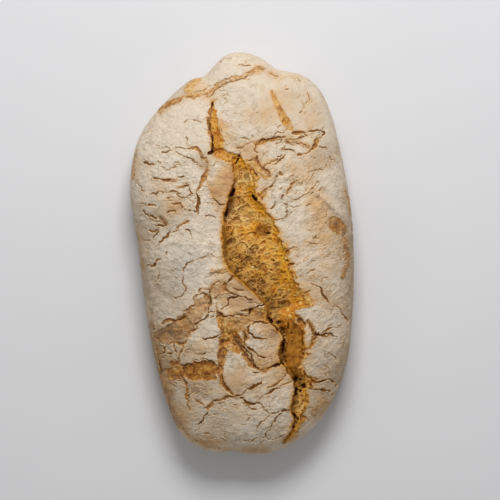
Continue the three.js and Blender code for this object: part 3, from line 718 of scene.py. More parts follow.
# Rows of x and y of the middle, reach, share and painted shade; a share below 0 greys the flour, in places as
# painted shade on the shaded side of ridges and lobes
WARM_SPOTS = tuple(Warmth((x, y), reach, *tint) for x, y, reach, *tint in (
    (52, 36, 16, 0.55), (60, 12, 13, 0.6), (66, -10, 10, 0.4), (-18, 41, 5, 1.1), (0, 108, 36, -0.1),
    (-50, 84, 24, -0.1), (48, -110, 13, -0.35), (-25, 52, 6, 0.4), (-47, 30, 8, 0.4), (-75, 14, 8, 0.4),
    (-73, -8, 9, 0.4), (56, 35, 7, 0.4), (30, 104, 16, 0.4), (46, 86, 10, 0.4), (10, 98, 14, 0.3),
    (40, 60, 16, 0.25), (-64, 66, 10, 0.4), (-58, 42, 13, 0.4), (-44, 38, 9, 0.35), (-13, 50, 9, 1.2),
    (-62, 96, 9, 0.35), (-30, 114, 12, 0.4), (40, 6, 12, 0.25), (48, -30, 12, 0.3), (-12, -30, 10, 0.8),
    (-4, -48, 10, 0.5), (-58, -62, 11, 0.6), (-52, -84, 9, 0.55), (16, -74, 8, 0.45),
    (-46, -112, 13, 0.4), (-20, -128, 14, 0.3), (62, -100, 14, 0.4), (12, 40, 8, 0.5), (14, 62, 10, 0.55),
    (-16, 84, 9, 0.5), (30, -30, 10, 0.35), (-44, 10, 18, -0.35), (-34, -14, 15, -0.4),
    (-50, -30, 12, -0.35), (-28, 40, 12, -0.2), (56, -70, 14, -0.25), (-6, 112, 12, -0.2),
    (-44, 118, 8, -0.2), (62, 72, 7, 0, 0.15), (30, 20, 12, -0.15), (-26, -64, 10, 0.45),
    (-1, -90, 13, 0.55), (-54, -75, 9, 0.4), (65, -33, 10, 0.35), (-47, 30, 9, 0.6), (61, 51, 7, -0.3),
    (67, 40, 7, -0.5), (34, 36, 9, -0.45), (56, 79, 8, -0.4), (-9, 55, 6, 0.9), (-10, 44, 6, 0.7),
    (-6, -27, 8, 0.8), (54, 68, 9, 0.1, 0.15), (-50, -30, 15, -0.2, 0.35), (-46, -37, 8, 0, 0.3),
    (-36, -36, 6, 0.2, 0.3), (-57, 25, 10, 0.2, 0.45), (-36, -94, 12, 0.2, 0.3), (-16, -115, 9, 0.3, 0.5),
    (-6, -85, 8, 0.2, 0.25), (52, -72, 9, 0.3, 0.3), (22.5, -55, 4, 0.4, 0.5), (-64, 33, 8, 0.1, 0.25),
    (-26, -94, 8, 0.2, 0.55), (4, 72, 6, 1, 0.1), (62, -36, 9, 0, 0.25), (-17, 32, 5, 1.1, 0.2),
    (-5, -27, 8, 0.2, 0.5), (20, -56, 6, 0.8), (13, -50, 7, 0.5), (-26, 62, 5, 0.6, 0.6),
    (-26, 72, 5, 0.3, 0.3), (-16, -17, 6, 0.7, 0.2), (-46, -75, 8, 0.3, 0.5), (-36, -70, 9, 0.2, 0.4),
    (-46, -65, 6, 0.2, 0.3), (-36, -94, 8, 0.2, 0.4), (23, -55, 5, 0.4, 0.5), (-66, -41, 9, 0, -0.5),
    (72, -55, 9, 0, -0.45), (23, -85, 6, 0.6, 0.2), (52, 62, 9, 0.3, 0.35), (52, -70, 8, 0.1, 0.35),
    (-56, -24, 8, -0.1, 0.3), (4, -36, 6, 0.6, 0.3), (-55, 23, 7, 0.2, 0.35), (62, 72, 8, 0.1, 0.3),
    (-65, 13, 8, 0.2, 0.3), (13, 92, 10, 0.5), (-26, 62, 6, 0.2, 0.3), (-14.5, 92, 5, 0.3),
    (-6, -26, 7, 0.3, 0.4), (-2, -132, 16, -0.3), (-9, 124, 9, -0.35), (-11, 86, 7, 0.35),
    (46, -104, 10, -0.2), (-55, -11, 9, 0, 0.35), (-46, 23, 7, 0.05, 0.35), (33, 23, 7, 0.1, 0.3),
    (38, 111, 9, 0.05, 0.35), (33, 62, 7, 0.4, 0.1), (-6, 77, 7, 0.5, 0.1),
))


@dataclass(frozen=True)
class Crazing:
    """Short hairlines that the skin tore into between the larger cracks, in clusters."""

    tries: int = 3600
    length: tuple[float, float] = (1.2, 4.2)
    width: tuple[float, float] = (0.08, 0.28)
    cluster: float = 12.0
    level_turn: float = -8.0
    slanting_turn: float = 36.0
    turn_sway: float = 30.0
    turn_spread: float = 9.0
    seed: int = 21

    def crowding(self, x: Array, y: Array) -> Array:
        """Share of the hairlines that is kept: most on the flanks, little at the tucked end.

        Args:
            x: Places across.
            y: Places along.

        Returns:
            Shares from 0 to 1.
        """
        left = ease(-18, -32, x) * ease(-2, 12, y) * ease(90, 74, y)
        right = ease(16, 30, x) * ease(-62, -44, y) * ease(94, 78, y)
        low = ease(-56, -72, y)
        clusters = ease(-0.05, 0.45, patchy(x, y, self.cluster, self.seed + 1))
        shares = [np.full_like(x, 0.2), 0.9 * left, 0.9 * right, 0.6 * low]
        return np.maximum.reduce(shares) * clusters

    def draw(self, form: LoafForm, split: LongSplit) -> tuple[Crack, ...]:
        """Draw the hairlines.

        Args:
            form: The loaf that they lie on.
            split: The long split that they keep clear of.

        Returns:
            The hairlines as cracks.
        """
        rng = np.random.default_rng(self.seed)
        reach = np.abs(np.array(form.outline)).max(axis=0)
        x, y = rng.uniform(-reach, reach, (self.tries, 2)).T
        left, right = split.lips(y)
        clear = (x < left - 4) | (x > right + 4) | (y > split.top + 4) | (y < split.bottom)
        kept = clear & (form.share(x, y) < 0.96) & (rng.random(self.tries) < self.crowding(x, y))
        turn = self.level_turn + (self.slanting_turn - self.level_turn) * ease(-15, 20, x)
        sway = self.turn_sway * patchy(x, y, 16.0, self.seed + 2)
        turn = turn + sway + rng.normal(0, self.turn_spread, self.tries)
        ahead = np.stack([np.cos(np.radians(turn)), np.sin(np.radians(turn))], axis=1)
        half = (rng.uniform(*self.length, self.tries) / 2)[:, None]
        bend = leftwards(ahead) * rng.normal(0, 0.2, (self.tries, 1)) * half
        middle = np.stack([x, y], axis=1)
        runs = np.stack([middle - ahead * half, middle + bend, middle + ahead * half], axis=1)
        widths = rng.uniform(*self.width, self.tries)
        kept_runs = np.flatnonzero(kept)
        return tuple(Crack(CRAZE, widths[i], tuple(runs[i].ravel()), 4.0) for i in kept_runs)


@dataclass
class CrustRelief:
    """What the crust carries at each place: height, breaks, bare places and tints.

    Crack and bare are distances in millimetres: outside the nearest crack's edge, and inside a bare place.
    """

    x: Array
    y: Array
    far: float = 6.0

    def __post_init__(self) -> None:
        """Start with an even, fully floured crust."""
        self.rise, self.dip, self.amber, self.warm, self.lit, self.rim = np.zeros((6, len(self.x)))
        self.crack = np.full_like(self.x, self.far)
        self.dark = np.full_like(self.x, 0.5)
        self.bare = np.full_like(self.x, -self.far)
        self.tone = np.full_like(self.x, 0.3)
        self.near = np.full_like(self.x, 1e3)

    def brown(self, where: Array, inside: Array, tone: Array, amber: float) -> None:
        """Take flour off some places and brown them.

        Args:
            where: Indices of the places.
            inside: How far inside the bare place each lies.
            tone: How brown each is.
            amber: How orange they are.
        """
        keep = ease(-1.2, 0.4, inside)
        glow = ease(-5.0, 0.0, inside) * (amber > 0.5)
        self.tone[where] += (tone - self.tone[where]) * keep
        self.amber[where] += (amber - self.amber[where]) * np.maximum(keep, glow)
        self.bare[where] = np.maximum(self.bare[where], inside)

    def around(self, line: Array, margin: float) -> tuple[Array, Array]:
        """Numbers of the places near a line, and how far each lies from every place of the line."""
        near = near_line(self.x, self.y, line, margin)
        return near, np.hypot(self.x[near, None] - line[:, 0], self.y[near, None] - line[:, 1])

    def warm_up(self, spot: Warmth) -> None:
        """Tint the flour softly round one spot.

        Args:
            spot: The spot.
        """
        near = hump(np.hypot(self.x - spot.at[0], self.y - spot.at[1]), 0.0, spot.reach)
        self.warm += spot.share * near
        # Painted shade: greyer, darker flour round the spot
        self.rim += spot.painted_shade * near

    def lay_bare(self, place: BarePlace, seed: int) -> None:
        """Sink and bare one run of crust.

        Args:
            place: The run.
            seed: Which random edge it gets.
        """
        line = drawn_line(place.path, 0.8)
        widest = max(place.half)
        near, away = self.around(line, widest * 1.5 + self.far)
        x, y = self.x[near], self.y[near]
        inside = (np.linspace(*place.half, len(line)) - away).max(axis=1)
        inside = inside + place.ragged * min(1.3, widest * 0.35) * patchy(x, y, 3.0, seed)
        inside = inside + place.ragged * min(0.55, widest * 0.25) * patchy(x, y, 1.2, seed + 1)
        self.rise[near] -= place.sink * ease(-0.6, 0.6, inside)
        dusted = inside * place.crisp - 2.5 * (1 - place.strength)
        self.brown(near, dusted, place.tone + 0.14 * patchy(x, y, 4.0, seed + 2), place.amber)
        if place.sink > 0:
            self.near[near] = np.minimum(self.near[near], np.abs(inside))

    def raise_ridge(self, ridge: Ridge) -> None:
        """Raise one soft ridge, or press one furrow.

        Args:
            ridge: The ridge or furrow.
        """
        line = drawn_line(ridge.path, 1.0)
        near, away = self.around(line, 3 * ridge.half)
        fade = np.sin(np.linspace(0.15, math.pi - 0.15, len(line)))
        height = ridge.height * fade[away.argmin(axis=1)]
        self.rise[near] += height * hump(away.min(axis=1), 0.0, ridge.half)

    def break_crust(self, crack: Crack, seed: int) -> None:
        """Cut one crack, raise its lips, sink the crust beside it and brown it.

        Args:
            crack: The crack.
            seed: Which random jaggedness it gets.
        """
        style = crack.kind.value
        near, out, above, half = crack.measure(self.x, self.y, seed)
        upper = np.clip(above / np.maximum(half, 0.25), -1.0, 1.0)
        cut = style.depth * crack.width * ease(0.15, -0.35 * crack.width, out)
        lip = style.lip * min(crack.width, 1.6) * hump(out, 0.5, 0.45)
        self.rise[near] += lip * (1 - 0.5 * upper) - cut
        beside = style.dip * min(crack.width, 1.3) * np.exp(-np.maximum(out, 0.0) / 2.2)
        self.dip[near] = np.maximum(self.dip[near], beside)
        line, dark = out, np.full_like(out, style.tone)
        if style.open_floor:
            # Open floors are painted darker towards the upper edge as shade and lighter towards the lower
            # edge as highlight, and the dark line runs along the upper edge only, as a painted shadow
            edge = 0.26 * ease(0.1, 0.9, upper) - 0.1 * ease(0.0, -0.9, upper)
            self.brown(near, -1.8 * out, style.tone + edge, style.amber)
            line = np.where(upper > 0.15, np.abs(out + 0.1) - style.edge, self.far)
            dark = np.full_like(out, style.painted_shadow_tone)
        else:
            self.amber[near] += (style.amber - self.amber[near]) * ease(1.0, 0.0, out)
        closer = line < self.crack[near]
        self.crack[near[closer]] = line[closer]
        self.dark[near[closer]] = dark[closer]
        # Painted highlight along the lower lip of the crack, the side that faces the lamp
        lit = ease(1.2, 0.35, out) * ease(-0.1, 0.15, out) * ease(0.1, -0.5, above)
        self.lit[near] = np.maximum(self.lit[near], lit)
        edge_of = np.abs(out) if style.open_floor else np.maximum(out, 0.0)
        self.near[near] = np.minimum(self.near[near], edge_of)


@dataclass
class CrustShell:
    """The browned, floured shell of the loaf, from its crown down to the flat foot."""

    form: LoafForm
    split: LongSplit
    fine_step: float = 0.45
    fine_reach: float = 0.5
    side_step: float = 1.5
    foot_step: float = 6.0
    foot_reach: float = 160.0
    top_share: float = 0.95
    wall_under_crumb: float = 7.0
    seed: int = 3
    bare_seed: int = 500
    crack_seed: int = 1000
    seed_step: int = 10

    def lattice(self) -> tuple[Array, Array, Array]:
        """Closely spaced places over the top of the loaf.

        Returns:
            Places across, places along, and how coarse a lattice each place belongs to, 0 being the finest.
        """
        reach = max(self.form.height, *(abs(v) for p in self.form.outline for v in p)) + 1
        rows = int(reach / (self.fine_step * math.sqrt(3) / 2)) // 4 * 4
        columns = int(reach / self.fine_step) // 4 * 4
        row, column = np.meshgrid(np.arange(-rows, rows + 1), np.arange(-columns, columns + 1), indexing="ij")
        x = (column + (row % 2) * 0.5) * self.fine_step
        y = row * self.fine_step * math.sqrt(3) / 2
        even = (row % 2 == 0) & ((column + (row // 2) % 2) % 2 == 0)
        level = np.where(even, 1, 0)
        inside = self.form.share(x, y) < self.top_share
        return x[inside], y[inside], level[inside]

    def side_rows(self) -> list[tuple[float, float]]:
        """Rows down the side of the loaf.

        Returns:
            For each row, its turn over the dome or, past 1, over the flank, and its distance down the side.
        """
        form = self.form
        middle_radius = 100.0
        first = math.asin(self.top_share ** (form.dome_across / 2)) / (math.pi / 2)
        turns = np.linspace(first, 2.0, 400)
        out, up = np.array([self.profile(t, middle_radius) for t in turns]).T
        run = run_along(np.stack([out * middle_radius, up], axis=1))
        count = round(run[-1] / self.side_step)
        places = np.linspace(0.0, run[-1], count + 1)[1:]
        return list(zip(np.interp(places, run, turns), places))

    def profile(self, turn: float, radius: float) -> tuple[float, float]:
        """Share of the outline and height at a turn down the side.

        Args:
            turn: From 0 at the crown over 1 at the widest outline to 2 at the foot.
            radius: Distance to the widest outline in that direction.

        Returns:
            Share of the outline's radius, and height above the table without the crust's unevenness.
        """
        form = self.form
        angle = min(turn, 1.0) * math.pi / 2
        if turn <= 1.0:
            share = math.sin(angle) ** (2 / form.dome_across)
            return share, form.belly + (form.height - form.belly) * math.cos(angle) ** (2 / form.dome_up)
        under = (turn - 1.0) * math.pi / 2
        foot = 1 - form.foot_inset / radius
        return foot + (1 - foot) * math.cos(under), form.belly * (1 - math.sin(under))

    def relief(self, x: Array, y: Array) -> CrustRelief:
        """Tint the flour, raise the ridges, and carve the bare places, the cracks and the split.

        Args:
            x: Places across.
            y: Places along.

        Returns:
            The relief at those places.
        """
        relief = CrustRelief(x, y)
        share = self.form.share(x, y)
        # Greyer, darker flour towards the outline below the tucked end, less at the lower end and on the left
        # flank, and a little over the tucked end; the spots below add painted shade to it
        relief.rim = ease(0.76, 1.0, share) * ease(80, 0, y) * (1 - 0.8 * ease(-80, -120, y))
        relief.rim *= 1 - 0.4 * ease(-30, -60, x) * ease(-50, -20, y)
        relief.rim += 0.17 * ease(60, 105, y)
        for spot in WARM_SPOTS:
            relief.warm_up(spot)
        relief.warm += 0.18 * ease(0, -70, y) + 0.2 * ease(-20, 30, x)
        relief.rise += 0.7 * patchy(x, y, 15.0, self.seed + 9) * (1 - share**6)
        relief.rise += 0.3 * patchy(x, y, 6.5, self.seed + 10) * (1 - share**6)
        for ridge in RIDGES:
            relief.raise_ridge(ridge)
        for number, place in enumerate(BARE_PLACES):
            relief.lay_bare(place, self.bare_seed + self.seed_step * number)
        for number, crack in enumerate(CRACKS + Crazing().draw(self.form, self.split)):
            relief.break_crust(crack, self.crack_seed + self.seed_step * number)
        self.open_split(relief)
        return relief

    def open_split(self, relief: CrustRelief) -> None:
        """Drop the crust between the lips of the long split, and curl and brown the lips.

        Args:
            relief: The relief to change.
        """
        x, y, split = relief.x, relief.y, self.split
        left, right = split.lips(y)
        ends = ease(split.bottom - 0.5, split.bottom + 1, y) * ease(split.top + 0.5, split.top - 1, y)
        past_left, past_right = x - left, right - x
        inside = ease(-0.15, 0.75, past_left) * ease(-0.2, 0.9, past_right) * ends
        floor = -split.sunk(x, y) - self.wall_under_crumb
        near = np.minimum(np.abs(past_left), np.abs(past_right))
        curl = 0.8 * hump(past_left, -1.6, 1.5) * ends
        rim = 1.0 + 0.8 * patchy(x, y, 6.0, self.seed) + 0.4 * patchy(x, y, 1.5, self.seed + 5)
        rim = rim + 1.1 * hump(y, -18, 8) - 0.7 * ease(-82, -90, y)
        torn = 2.0 + 2.0 * patchy(x, y, 4.0, self.seed + 1) + 1.3 * patchy(x, y, 1.3, self.seed + 6)
        torn = torn + 4.6 * hump(y, -34, 6.5) + 1.6 * ease(34, 48, y) - 3.4 * hump(y, -42, 3)
        band = np.where(ends > 0.5, np.minimum(past_left + rim, past_right + torn), -relief.far)
        crumbly = 0.8 * ease(-0.5, 0.5, past_right + torn) * ease(2.0, 1.0, past_right)
        crumbly = crumbly * patchy(x, y, 1.5, self.seed + 7) * ends
        relief.rise += (floor - relief.rise) * inside + (curl + crumbly) * (1 - inside)
        relief.dip *= 1 - inside
        depth_in = ease(0.3, 1.5, np.minimum(past_left, past_right))
        tone = 0.32 + 0.3 * patchy(x, y, 2.0, self.seed + 2) - 0.08 * hump(y, -33, 9)
        tone += (0.62 + 0.35 * depth_in - tone) * inside
        relief.brown(np.arange(len(x)), 1.1 * band, tone, 0.9)
        tinted = 0.55 * np.exp(-np.maximum(x - right, 0.0) / 5.0) * (x > right)
        fringe = 0.4 + 0.5 * ease(34, 26, y) * ease(-38, -26, y)
        relief.warm += ends * (tinted + fringe * np.exp(-np.maximum(left - x, 0.0) / 3.5) * (x < left))
        relief.near = np.minimum(relief.near, np.where(ends > 0, near, 1e3))

    def build(self) -> bpy.types.Object:
        """Make the shell's mesh.

        Returns:
            The crust object, closed, with its cracks, bare places and tints as attributes.
        """
        form = self.form
        x, y, level = self.lattice()
        relief = self.relief(x, y)
        inside_split = (relief.near > 1.5) & (relief.rise < -4)
        keep = ((relief.near < self.fine_reach) & ~inside_split) | (level > 0)
        rng = np.random.default_rng(self.seed)
        shake = rng.uniform(-0.16, 0.16, (len(x), 2)) * self.fine_step
        top = np.stack([x, y], axis=1)[keep] + shake[keep]
        rim = form.rim()
        lengths = run_along(rim)
        count = round(lengths[-1] / self.side_step)
        turn = np.unwrap(np.arctan2(rim[:, 1], rim[:, 0]))
        flat_places, side_places, side_heights = [top], [], []
        for number, (where, down) in enumerate(self.side_rows()):
            angle = np.interp((np.arange(count) + 0.5 * (number % 2)) / count * lengths[-1], lengths, turn)
            radius = form.radius(angle)
            ahead = np.stack([np.cos(angle), np.sin(angle)], axis=1)
            shape = np.array([self.profile(where, r) for r in radius])
            flat_places.append(ahead * (radius * self.top_share + down)[:, None])
            side_places.append(ahead * (radius * shape[:, 0])[:, None])
            side_heights.append(shape[:, 1] if where > 1 else np.full(count, np.nan))
        flat = np.vstack(flat_places)
        plan = np.vstack([top, *side_places])
        relief = self.relief(plan[:, 0], plan[:, 1])
        height = form.crust(plan[:, 0], plan[:, 1], self.split) + relief.rise - relief.dip
        below = np.concatenate([np.full(len(top), np.nan), *side_heights])
        on_flank = ~np.isnan(below)
        height[on_flank] = below[on_flank]
        faded = 0.5 * (form.belly - below[on_flank])
        worn = (3.0 - below[on_flank] - 3.0 * patchy(*plan[on_flank].T, 9.0, self.seed + 8)) * 0.5
        carried = relief.bare[on_flank] - faded
        relief.tone[on_flank] = np.where(worn > carried, 0.42, relief.tone[on_flank])
        relief.bare[on_flank] = np.maximum(worn, carried)
        relief.crack[on_flank] += faded
        ring = list(range(len(flat) - count, len(flat)))
        faces = fill(flat, ring)
        foot_places, foot_faces = self.foot(plan[ring], ring, len(flat))
        places = np.vstack([np.column_stack([plan, height]), foot_places])
        under = {
            "crack": 6.0, "dark": 0.5, "bare": 1.2, "tone": 0.42,
            "amber": 0.1, "warm": 0.4, "lit": 0.0, "rim": 0.6,
        }
        more = (0, len(foot_places))
        values = {name: np.pad(getattr(relief, name), more, constant_values=v) for name, v in under.items()}
        return apply_tree(make_mesh("crust", places, faces + foot_faces, values), CrustSkin())

    def foot(self, ring: Array, ring_numbers: list[int], first: int) -> tuple[Array, list]:
        """Close the shell with its flat underside.

        Args:
            ring: Places of the shell's lowest row.
            ring_numbers: Vertex numbers of that row.
            first: Vertex number that the underside's own places start at.

        Returns:
            The underside's own places and its faces, facing down.
        """
        steps = np.arange(-self.foot_reach, self.foot_reach, self.foot_step)
        x, y = (g.ravel() for g in np.meshgrid(steps, steps))
        angle = np.arctan2(y, x)
        inside = np.hypot(x, y) < self.form.radius(angle) - self.form.foot_inset - self.foot_step * 0.6
        inner = np.stack([x[inside], y[inside]], axis=1)
        faces = fill(np.vstack([ring, inner]), list(range(len(ring))))
        number = ring_numbers + list(range(first, first + len(inner)))
        return np.column_stack([inner, np.zeros(len(inner))]), [[number[i] for i in f[::-1]] for f in faces]


def fill(places: Array, ring: list[int]) -> list[list[int]]:
    """Fill a closed ring with triangles through every place inside it.

    Args:
        places: Flat places, the ring's among them.
        ring: Numbers of the places along the ring, anticlockwise.

    Returns:
        Triangles as lists of place numbers, anticlockwise.
    """
    made = delaunay_2d_cdt([Vector(p) for p in places], [], [ring], 1, 1e-6)
    number = [originals[0] for originals in made[3]]
    return [[number[i] for i in face] for face in made[2]]


def make_mesh(name: str, places: Array, faces: list, attributes: dict[str, Array]) -> bpy.types.Object:
    """Make a smooth-shaded object.

    Args:
        name: The piece's name.
        places: Vertices in millimetres.
        faces: Faces as lists of vertex numbers.
        attributes: Values for each vertex, by name.

    Returns:
        The object, linked to the scene.
    """
    mesh = bpy.data.meshes.new(name)
    mesh.from_pydata((places * MM).tolist(), [], faces)
    for key, values in attributes.items():
        mesh.attributes.new(key, "FLOAT", "POINT").data.foreach_set("value", values.astype(np.float32))
    mesh.polygons.foreach_set("use_smooth", np.ones(len(mesh.polygons), bool))
    mesh.update()
    piece = bpy.data.objects.new(name, mesh)
    bpy.context.scene.collection.objects.link(piece)
    return piece


class Value:
    """A node's output that Python arithmetic can use: an expression adds the Math nodes it needs."""

    def __init__(self, graph: "Graph", socket: bpy.types.NodeSocket) -> None:
        """Wrap one output socket of a graph."""
        self.graph = graph
        self.socket = socket

    def math(self, operation: str, *others: "Value | float") -> "Value":
        """Add one Math node that starts from this value."""
        return self.graph.node("ShaderNodeMath", {"operation": operation}, dict(enumerate((self, *others))))

    def __add__(self, other: "Value | float") -> "Value":
        """Sum."""
        return self.math("ADD", other)

    def __sub__(self, other: "Value | float") -> "Value":
        """Difference."""
        return self.math("SUBTRACT", other)

    def __rsub__(self, other: float) -> "Value":
        """Difference from a number."""
        return self.graph.node("ShaderNodeMath", {"operation": "SUBTRACT"}, {0: other, 1: self})

    def __mul__(self, other: "Value | float") -> "Value":
        """Product."""
        return self.math("MULTIPLY", other)

    def __rtruediv__(self, other: float) -> "Value":
        """Quotient of a number by this value."""
        return self.graph.node("ShaderNodeMath", {"operation": "DIVIDE"}, {0: other, 1: self})

    __radd__ = __add__
    __rmul__ = __mul__

    def clip(self) -> "Value":
        """The value held between 0 and 1."""
        return self.graph.node("ShaderNodeMath", {"operation": "ADD", "use_clamp": True}, {0: self, 1: 0.0})

    def ease(self, low: float, high: float) -> "Value":
        """Ease from 0 at low to 1 at high; low may lie above high."""
        ends = {"Value": self, "From Min": low, "From Max": high}
        return self.graph.node("ShaderNodeMapRange", {"interpolation_type": "SMOOTHSTEP"}, ends, "Result")


class Graph:
    """A node tree that is written as expressions."""

    def __init__(self, tree: bpy.types.NodeTree) -> None:
        """Start from a tree with no nodes."""
        self.tree = tree
        tree.nodes.clear()

    def node(self, kind: str, settings: dict, sockets: dict, output: str | int = 0) -> Value:
        """Add one node.

        Args:
            kind: The node's type.
            settings: Its own settings, set first.
            sockets: Values or links of its inputs, by name, number or identifier.
            output: Which output to hand back, by name, number or identifier.

        Returns:
            The chosen output.
        """
        made = self.tree.nodes.new(kind)
        for name, setting in settings.items():
            setattr(made, name, setting)
        for key, value in sockets.items():
            socket = self.find(made.inputs, key)
            if isinstance(value, Value):
                self.tree.links.new(value.socket, socket)
            else:
                socket.default_value = value
        return Value(self, self.find(made.outputs, output)) if len(made.outputs) else None

    @staticmethod
    def find(sockets: bpy.types.bpy_prop_collection, key: str | int) -> bpy.types.NodeSocket:
        """Find a socket by number, identifier or name."""
        return next((s for s in sockets if s.identifier == key and s.enabled), None) or sockets[key]

    def attribute(self, name: str) -> Value:
        """A value that the mesh carries at each vertex."""
        return self.node("ShaderNodeAttribute", {"attribute_name": name}, {}, "Fac")

    def place(self) -> Value:
        """Object coordinates."""
        return self.node("ShaderNodeTexCoord", {}, {}, "Object")

    def stretched(self, place: Value, turn: float, spans: tuple[float, float, float]) -> Value:
        """Coordinates in units of three spans, turned about the upright axis.

        Args:
            place: Places in metres.
            turn: The turn, in degrees.
            spans: The spans, in millimetres.

        Returns:
            The coordinates.
        """
        turned = self.node("ShaderNodeVectorRotate", {"rotation_type": "Z_AXIS"}, {
            "Vector": place, "Angle": math.radians(-turn),
        })
        per = tuple(1.0 / (span * MM) for span in spans)
        return self.vector("MULTIPLY", {0: turned, 1: per})

    def other(self, value: Value, output: str) -> Value:
        """Another output of the node that a value comes from."""
        return Value(self, self.find(value.socket.node.outputs, output))

    def axis(self, place: Value, name: str) -> Value:
        """One coordinate of some places."""
        return self.node("ShaderNodeSeparateXYZ", {}, {"Vector": place}, name)

    def vector(self, operation: str, sockets: dict) -> Value:
        """Add one Vector Math node."""
        return self.node("ShaderNodeVectorMath", {"operation": operation}, sockets)

    def noise(self, span: float, detail: float = 2, rough: float = 0.5, place: Value | None = None) -> Value:
        """Noise from 0 to 1 whose features are about span millimetres wide."""
        sockets = {"Scale": 0.6 / (span * MM), "Detail": detail, "Roughness": rough}
        return self.node("ShaderNodeTexNoise", {}, {"Vector": place or self.place(), **sockets}, "Fac")

    def folded(self, place: Value) -> Value:
        """Noise like a wrinkled skin, for coordinates in units of its folds."""
        sockets = {"Vector": place, "Scale": 0.6, "Detail": 4.0, "Roughness": 0.6, "Distortion": 0.5}
        return self.node("ShaderNodeTexNoise", {}, sockets, "Fac")

    def warped(self, place: Value, scale: float, detail: float, stray: float) -> Value:
        """Places moved by a fine noise, so that what is drawn over them looks torn.

        Args:
            place: Places in metres.
            scale: Scale of the noise.
            detail: Its detail.
            stray: How far it moves them, in metres.

        Returns:
            The moved places.
        """
        sockets = {"Vector": place, "Scale": scale, "Detail": detail}
        sway = self.node("ShaderNodeTexNoise", {}, sockets, "Color")
        return self.vector("ADD", {0: place, 1: self.vector("SCALE", {0: sway, "Scale": stray})})

    def edges(self, place: Value, scale: Value | float = 1.0) -> Value:
        """Distance from the edges of random cells."""
        feature = {"feature": "DISTANCE_TO_EDGE"}
        return self.node("ShaderNodeTexVoronoi", feature, {"Vector": place, "Scale": scale}, "Distance")

    def ramp(self, value: Value, stops: tuple[tuple[float, Colour], ...]) -> Value:
        """Colour along a row of stops.

        Args:
            value: How far along the row.
            stops: Place and colour of each stop.

        Returns:
            The colour.
        """
        made = self.node("ShaderNodeValToRGB", {}, {"Fac": value}, "Color")
        elements = made.socket.node.color_ramp.elements
        while len(elements) < len(stops):
            elements.new(1.0)
        for element, (place, colour) in zip(elements, stops):
            element.position = place
            element.color = (*colour, 1.0)
        return made

    def mix(self, share: Value | float, low: "Value | Colour", high: "Value | Colour") -> Value:
        """Mix two colours.

        Args:
            share: Share of the second colour.
            low: The first colour.
            high: The second colour.

        Returns:
            The mixed colour.
        """
        ends = {"Factor_Float": share}
        for key, colour in (("A_Color", low), ("B_Color", high)):
            ends[key] = colour if isinstance(colour, Value) else (*colour, 1.0)
        return self.node("ShaderNodeMix", {"data_type": "RGBA", "clamp_result": False}, ends, "Result_Color")

    def coat(self, colour: Value, *coats: "tuple[Value, Value | Colour]") -> Value:
        """Lay coats over a colour.

        Args:
            colour: The colour underneath.
            coats: Share and colour of each coat, the lowest first.

        Returns:
            The colour on top.
        """
        for share, over in coats:
            colour = self.mix(share, colour, over)
        return colour

    def bump(self, height: Value, depth: float) -> Value:
        """Normals of a fine relief, depth millimetres high."""
        sockets = {"Strength": 1.0, "Distance": depth * MM, "Height": height}
        return self.node("ShaderNodeBump", {}, sockets, "Normal")


def linear(part: int) -> float:
    """One channel of a screen colour as the linear share that materials take."""
    share = part / 255
    return share / 12.92 if share <= 0.04045 else ((share + 0.055) / 1.055) ** 2.4


def srgb(red: int, green: int, blue: int) -> Colour:
    """A screen colour as the linear colour that materials take."""
    return linear(red), linear(green), linear(blue)


def new_material(name: str) -> tuple[bpy.types.Material, Graph]:
    """Make an empty node material.

    Args:
        name: The material's name.

    Returns:
        The material and its graph.
    """
    material = bpy.data.materials.new(name)
    material.use_nodes = True
    return material, Graph(material.node_tree)


def finish_surface(graph: Graph, sockets: dict) -> None:
    """Close a material's graph with its surface shader."""
    shader = graph.node("ShaderNodeBsdfPrincipled", {}, sockets, "BSDF")
    graph.node("ShaderNodeOutputMaterial", {}, {"Surface": shader})


class ShapeTree:
    """A geometry node tree whose number inputs are the size fields of its class."""

    def sizes(self) -> dict[str, float]:
        """Values of the tree's inputs, in metres."""
        return {name: size * MM for name, size in vars(self).items()}

    def tree(self) -> bpy.types.NodeTree:
        """Build the tree, as each class does for itself."""
        raise NotImplementedError

    def start(self, name: str) -> tuple[Graph, dict[str, Value]]:
        """Start the tree.

        Args:
            name: The tree's name.

        Returns:
            The tree's graph, and its inputs by name.
        """
        tree = bpy.data.node_groups.new(name, "GeometryNodeTree")
        graph = Graph(tree)
        tree.interface.new_socket(name="Geometry", in_out="INPUT", socket_type="NodeSocketGeometry")
        for size in self.sizes():
            tree.interface.new_socket(name=size, in_out="INPUT", socket_type="NodeSocketFloat")
        tree.interface.new_socket(name="Geometry", in_out="OUTPUT", socket_type="NodeSocketGeometry")
        outputs = graph.node("NodeGroupInput", {}, {}).socket.node.outputs
        return graph, {socket.name: Value(graph, socket) for socket in outputs if socket.name}


def finish_shape(graph: Graph, geometry: Value, material: bpy.types.Material) -> bpy.types.NodeTree:
    """Close a geometry node tree with its material.

    Args:
        graph: The tree's graph.
        geometry: The finished geometry.
        material: The material it gets.

    Returns:
        The tree.
    """
    real = graph.node("GeometryNodeRealizeInstances", {}, {"Geometry": geometry})
    dressed = graph.node("GeometryNodeSetMaterial", {}, {"Geometry": real, "Material": material})
    graph.node("NodeGroupOutput", {}, {"Geometry": dressed})
    return graph.tree


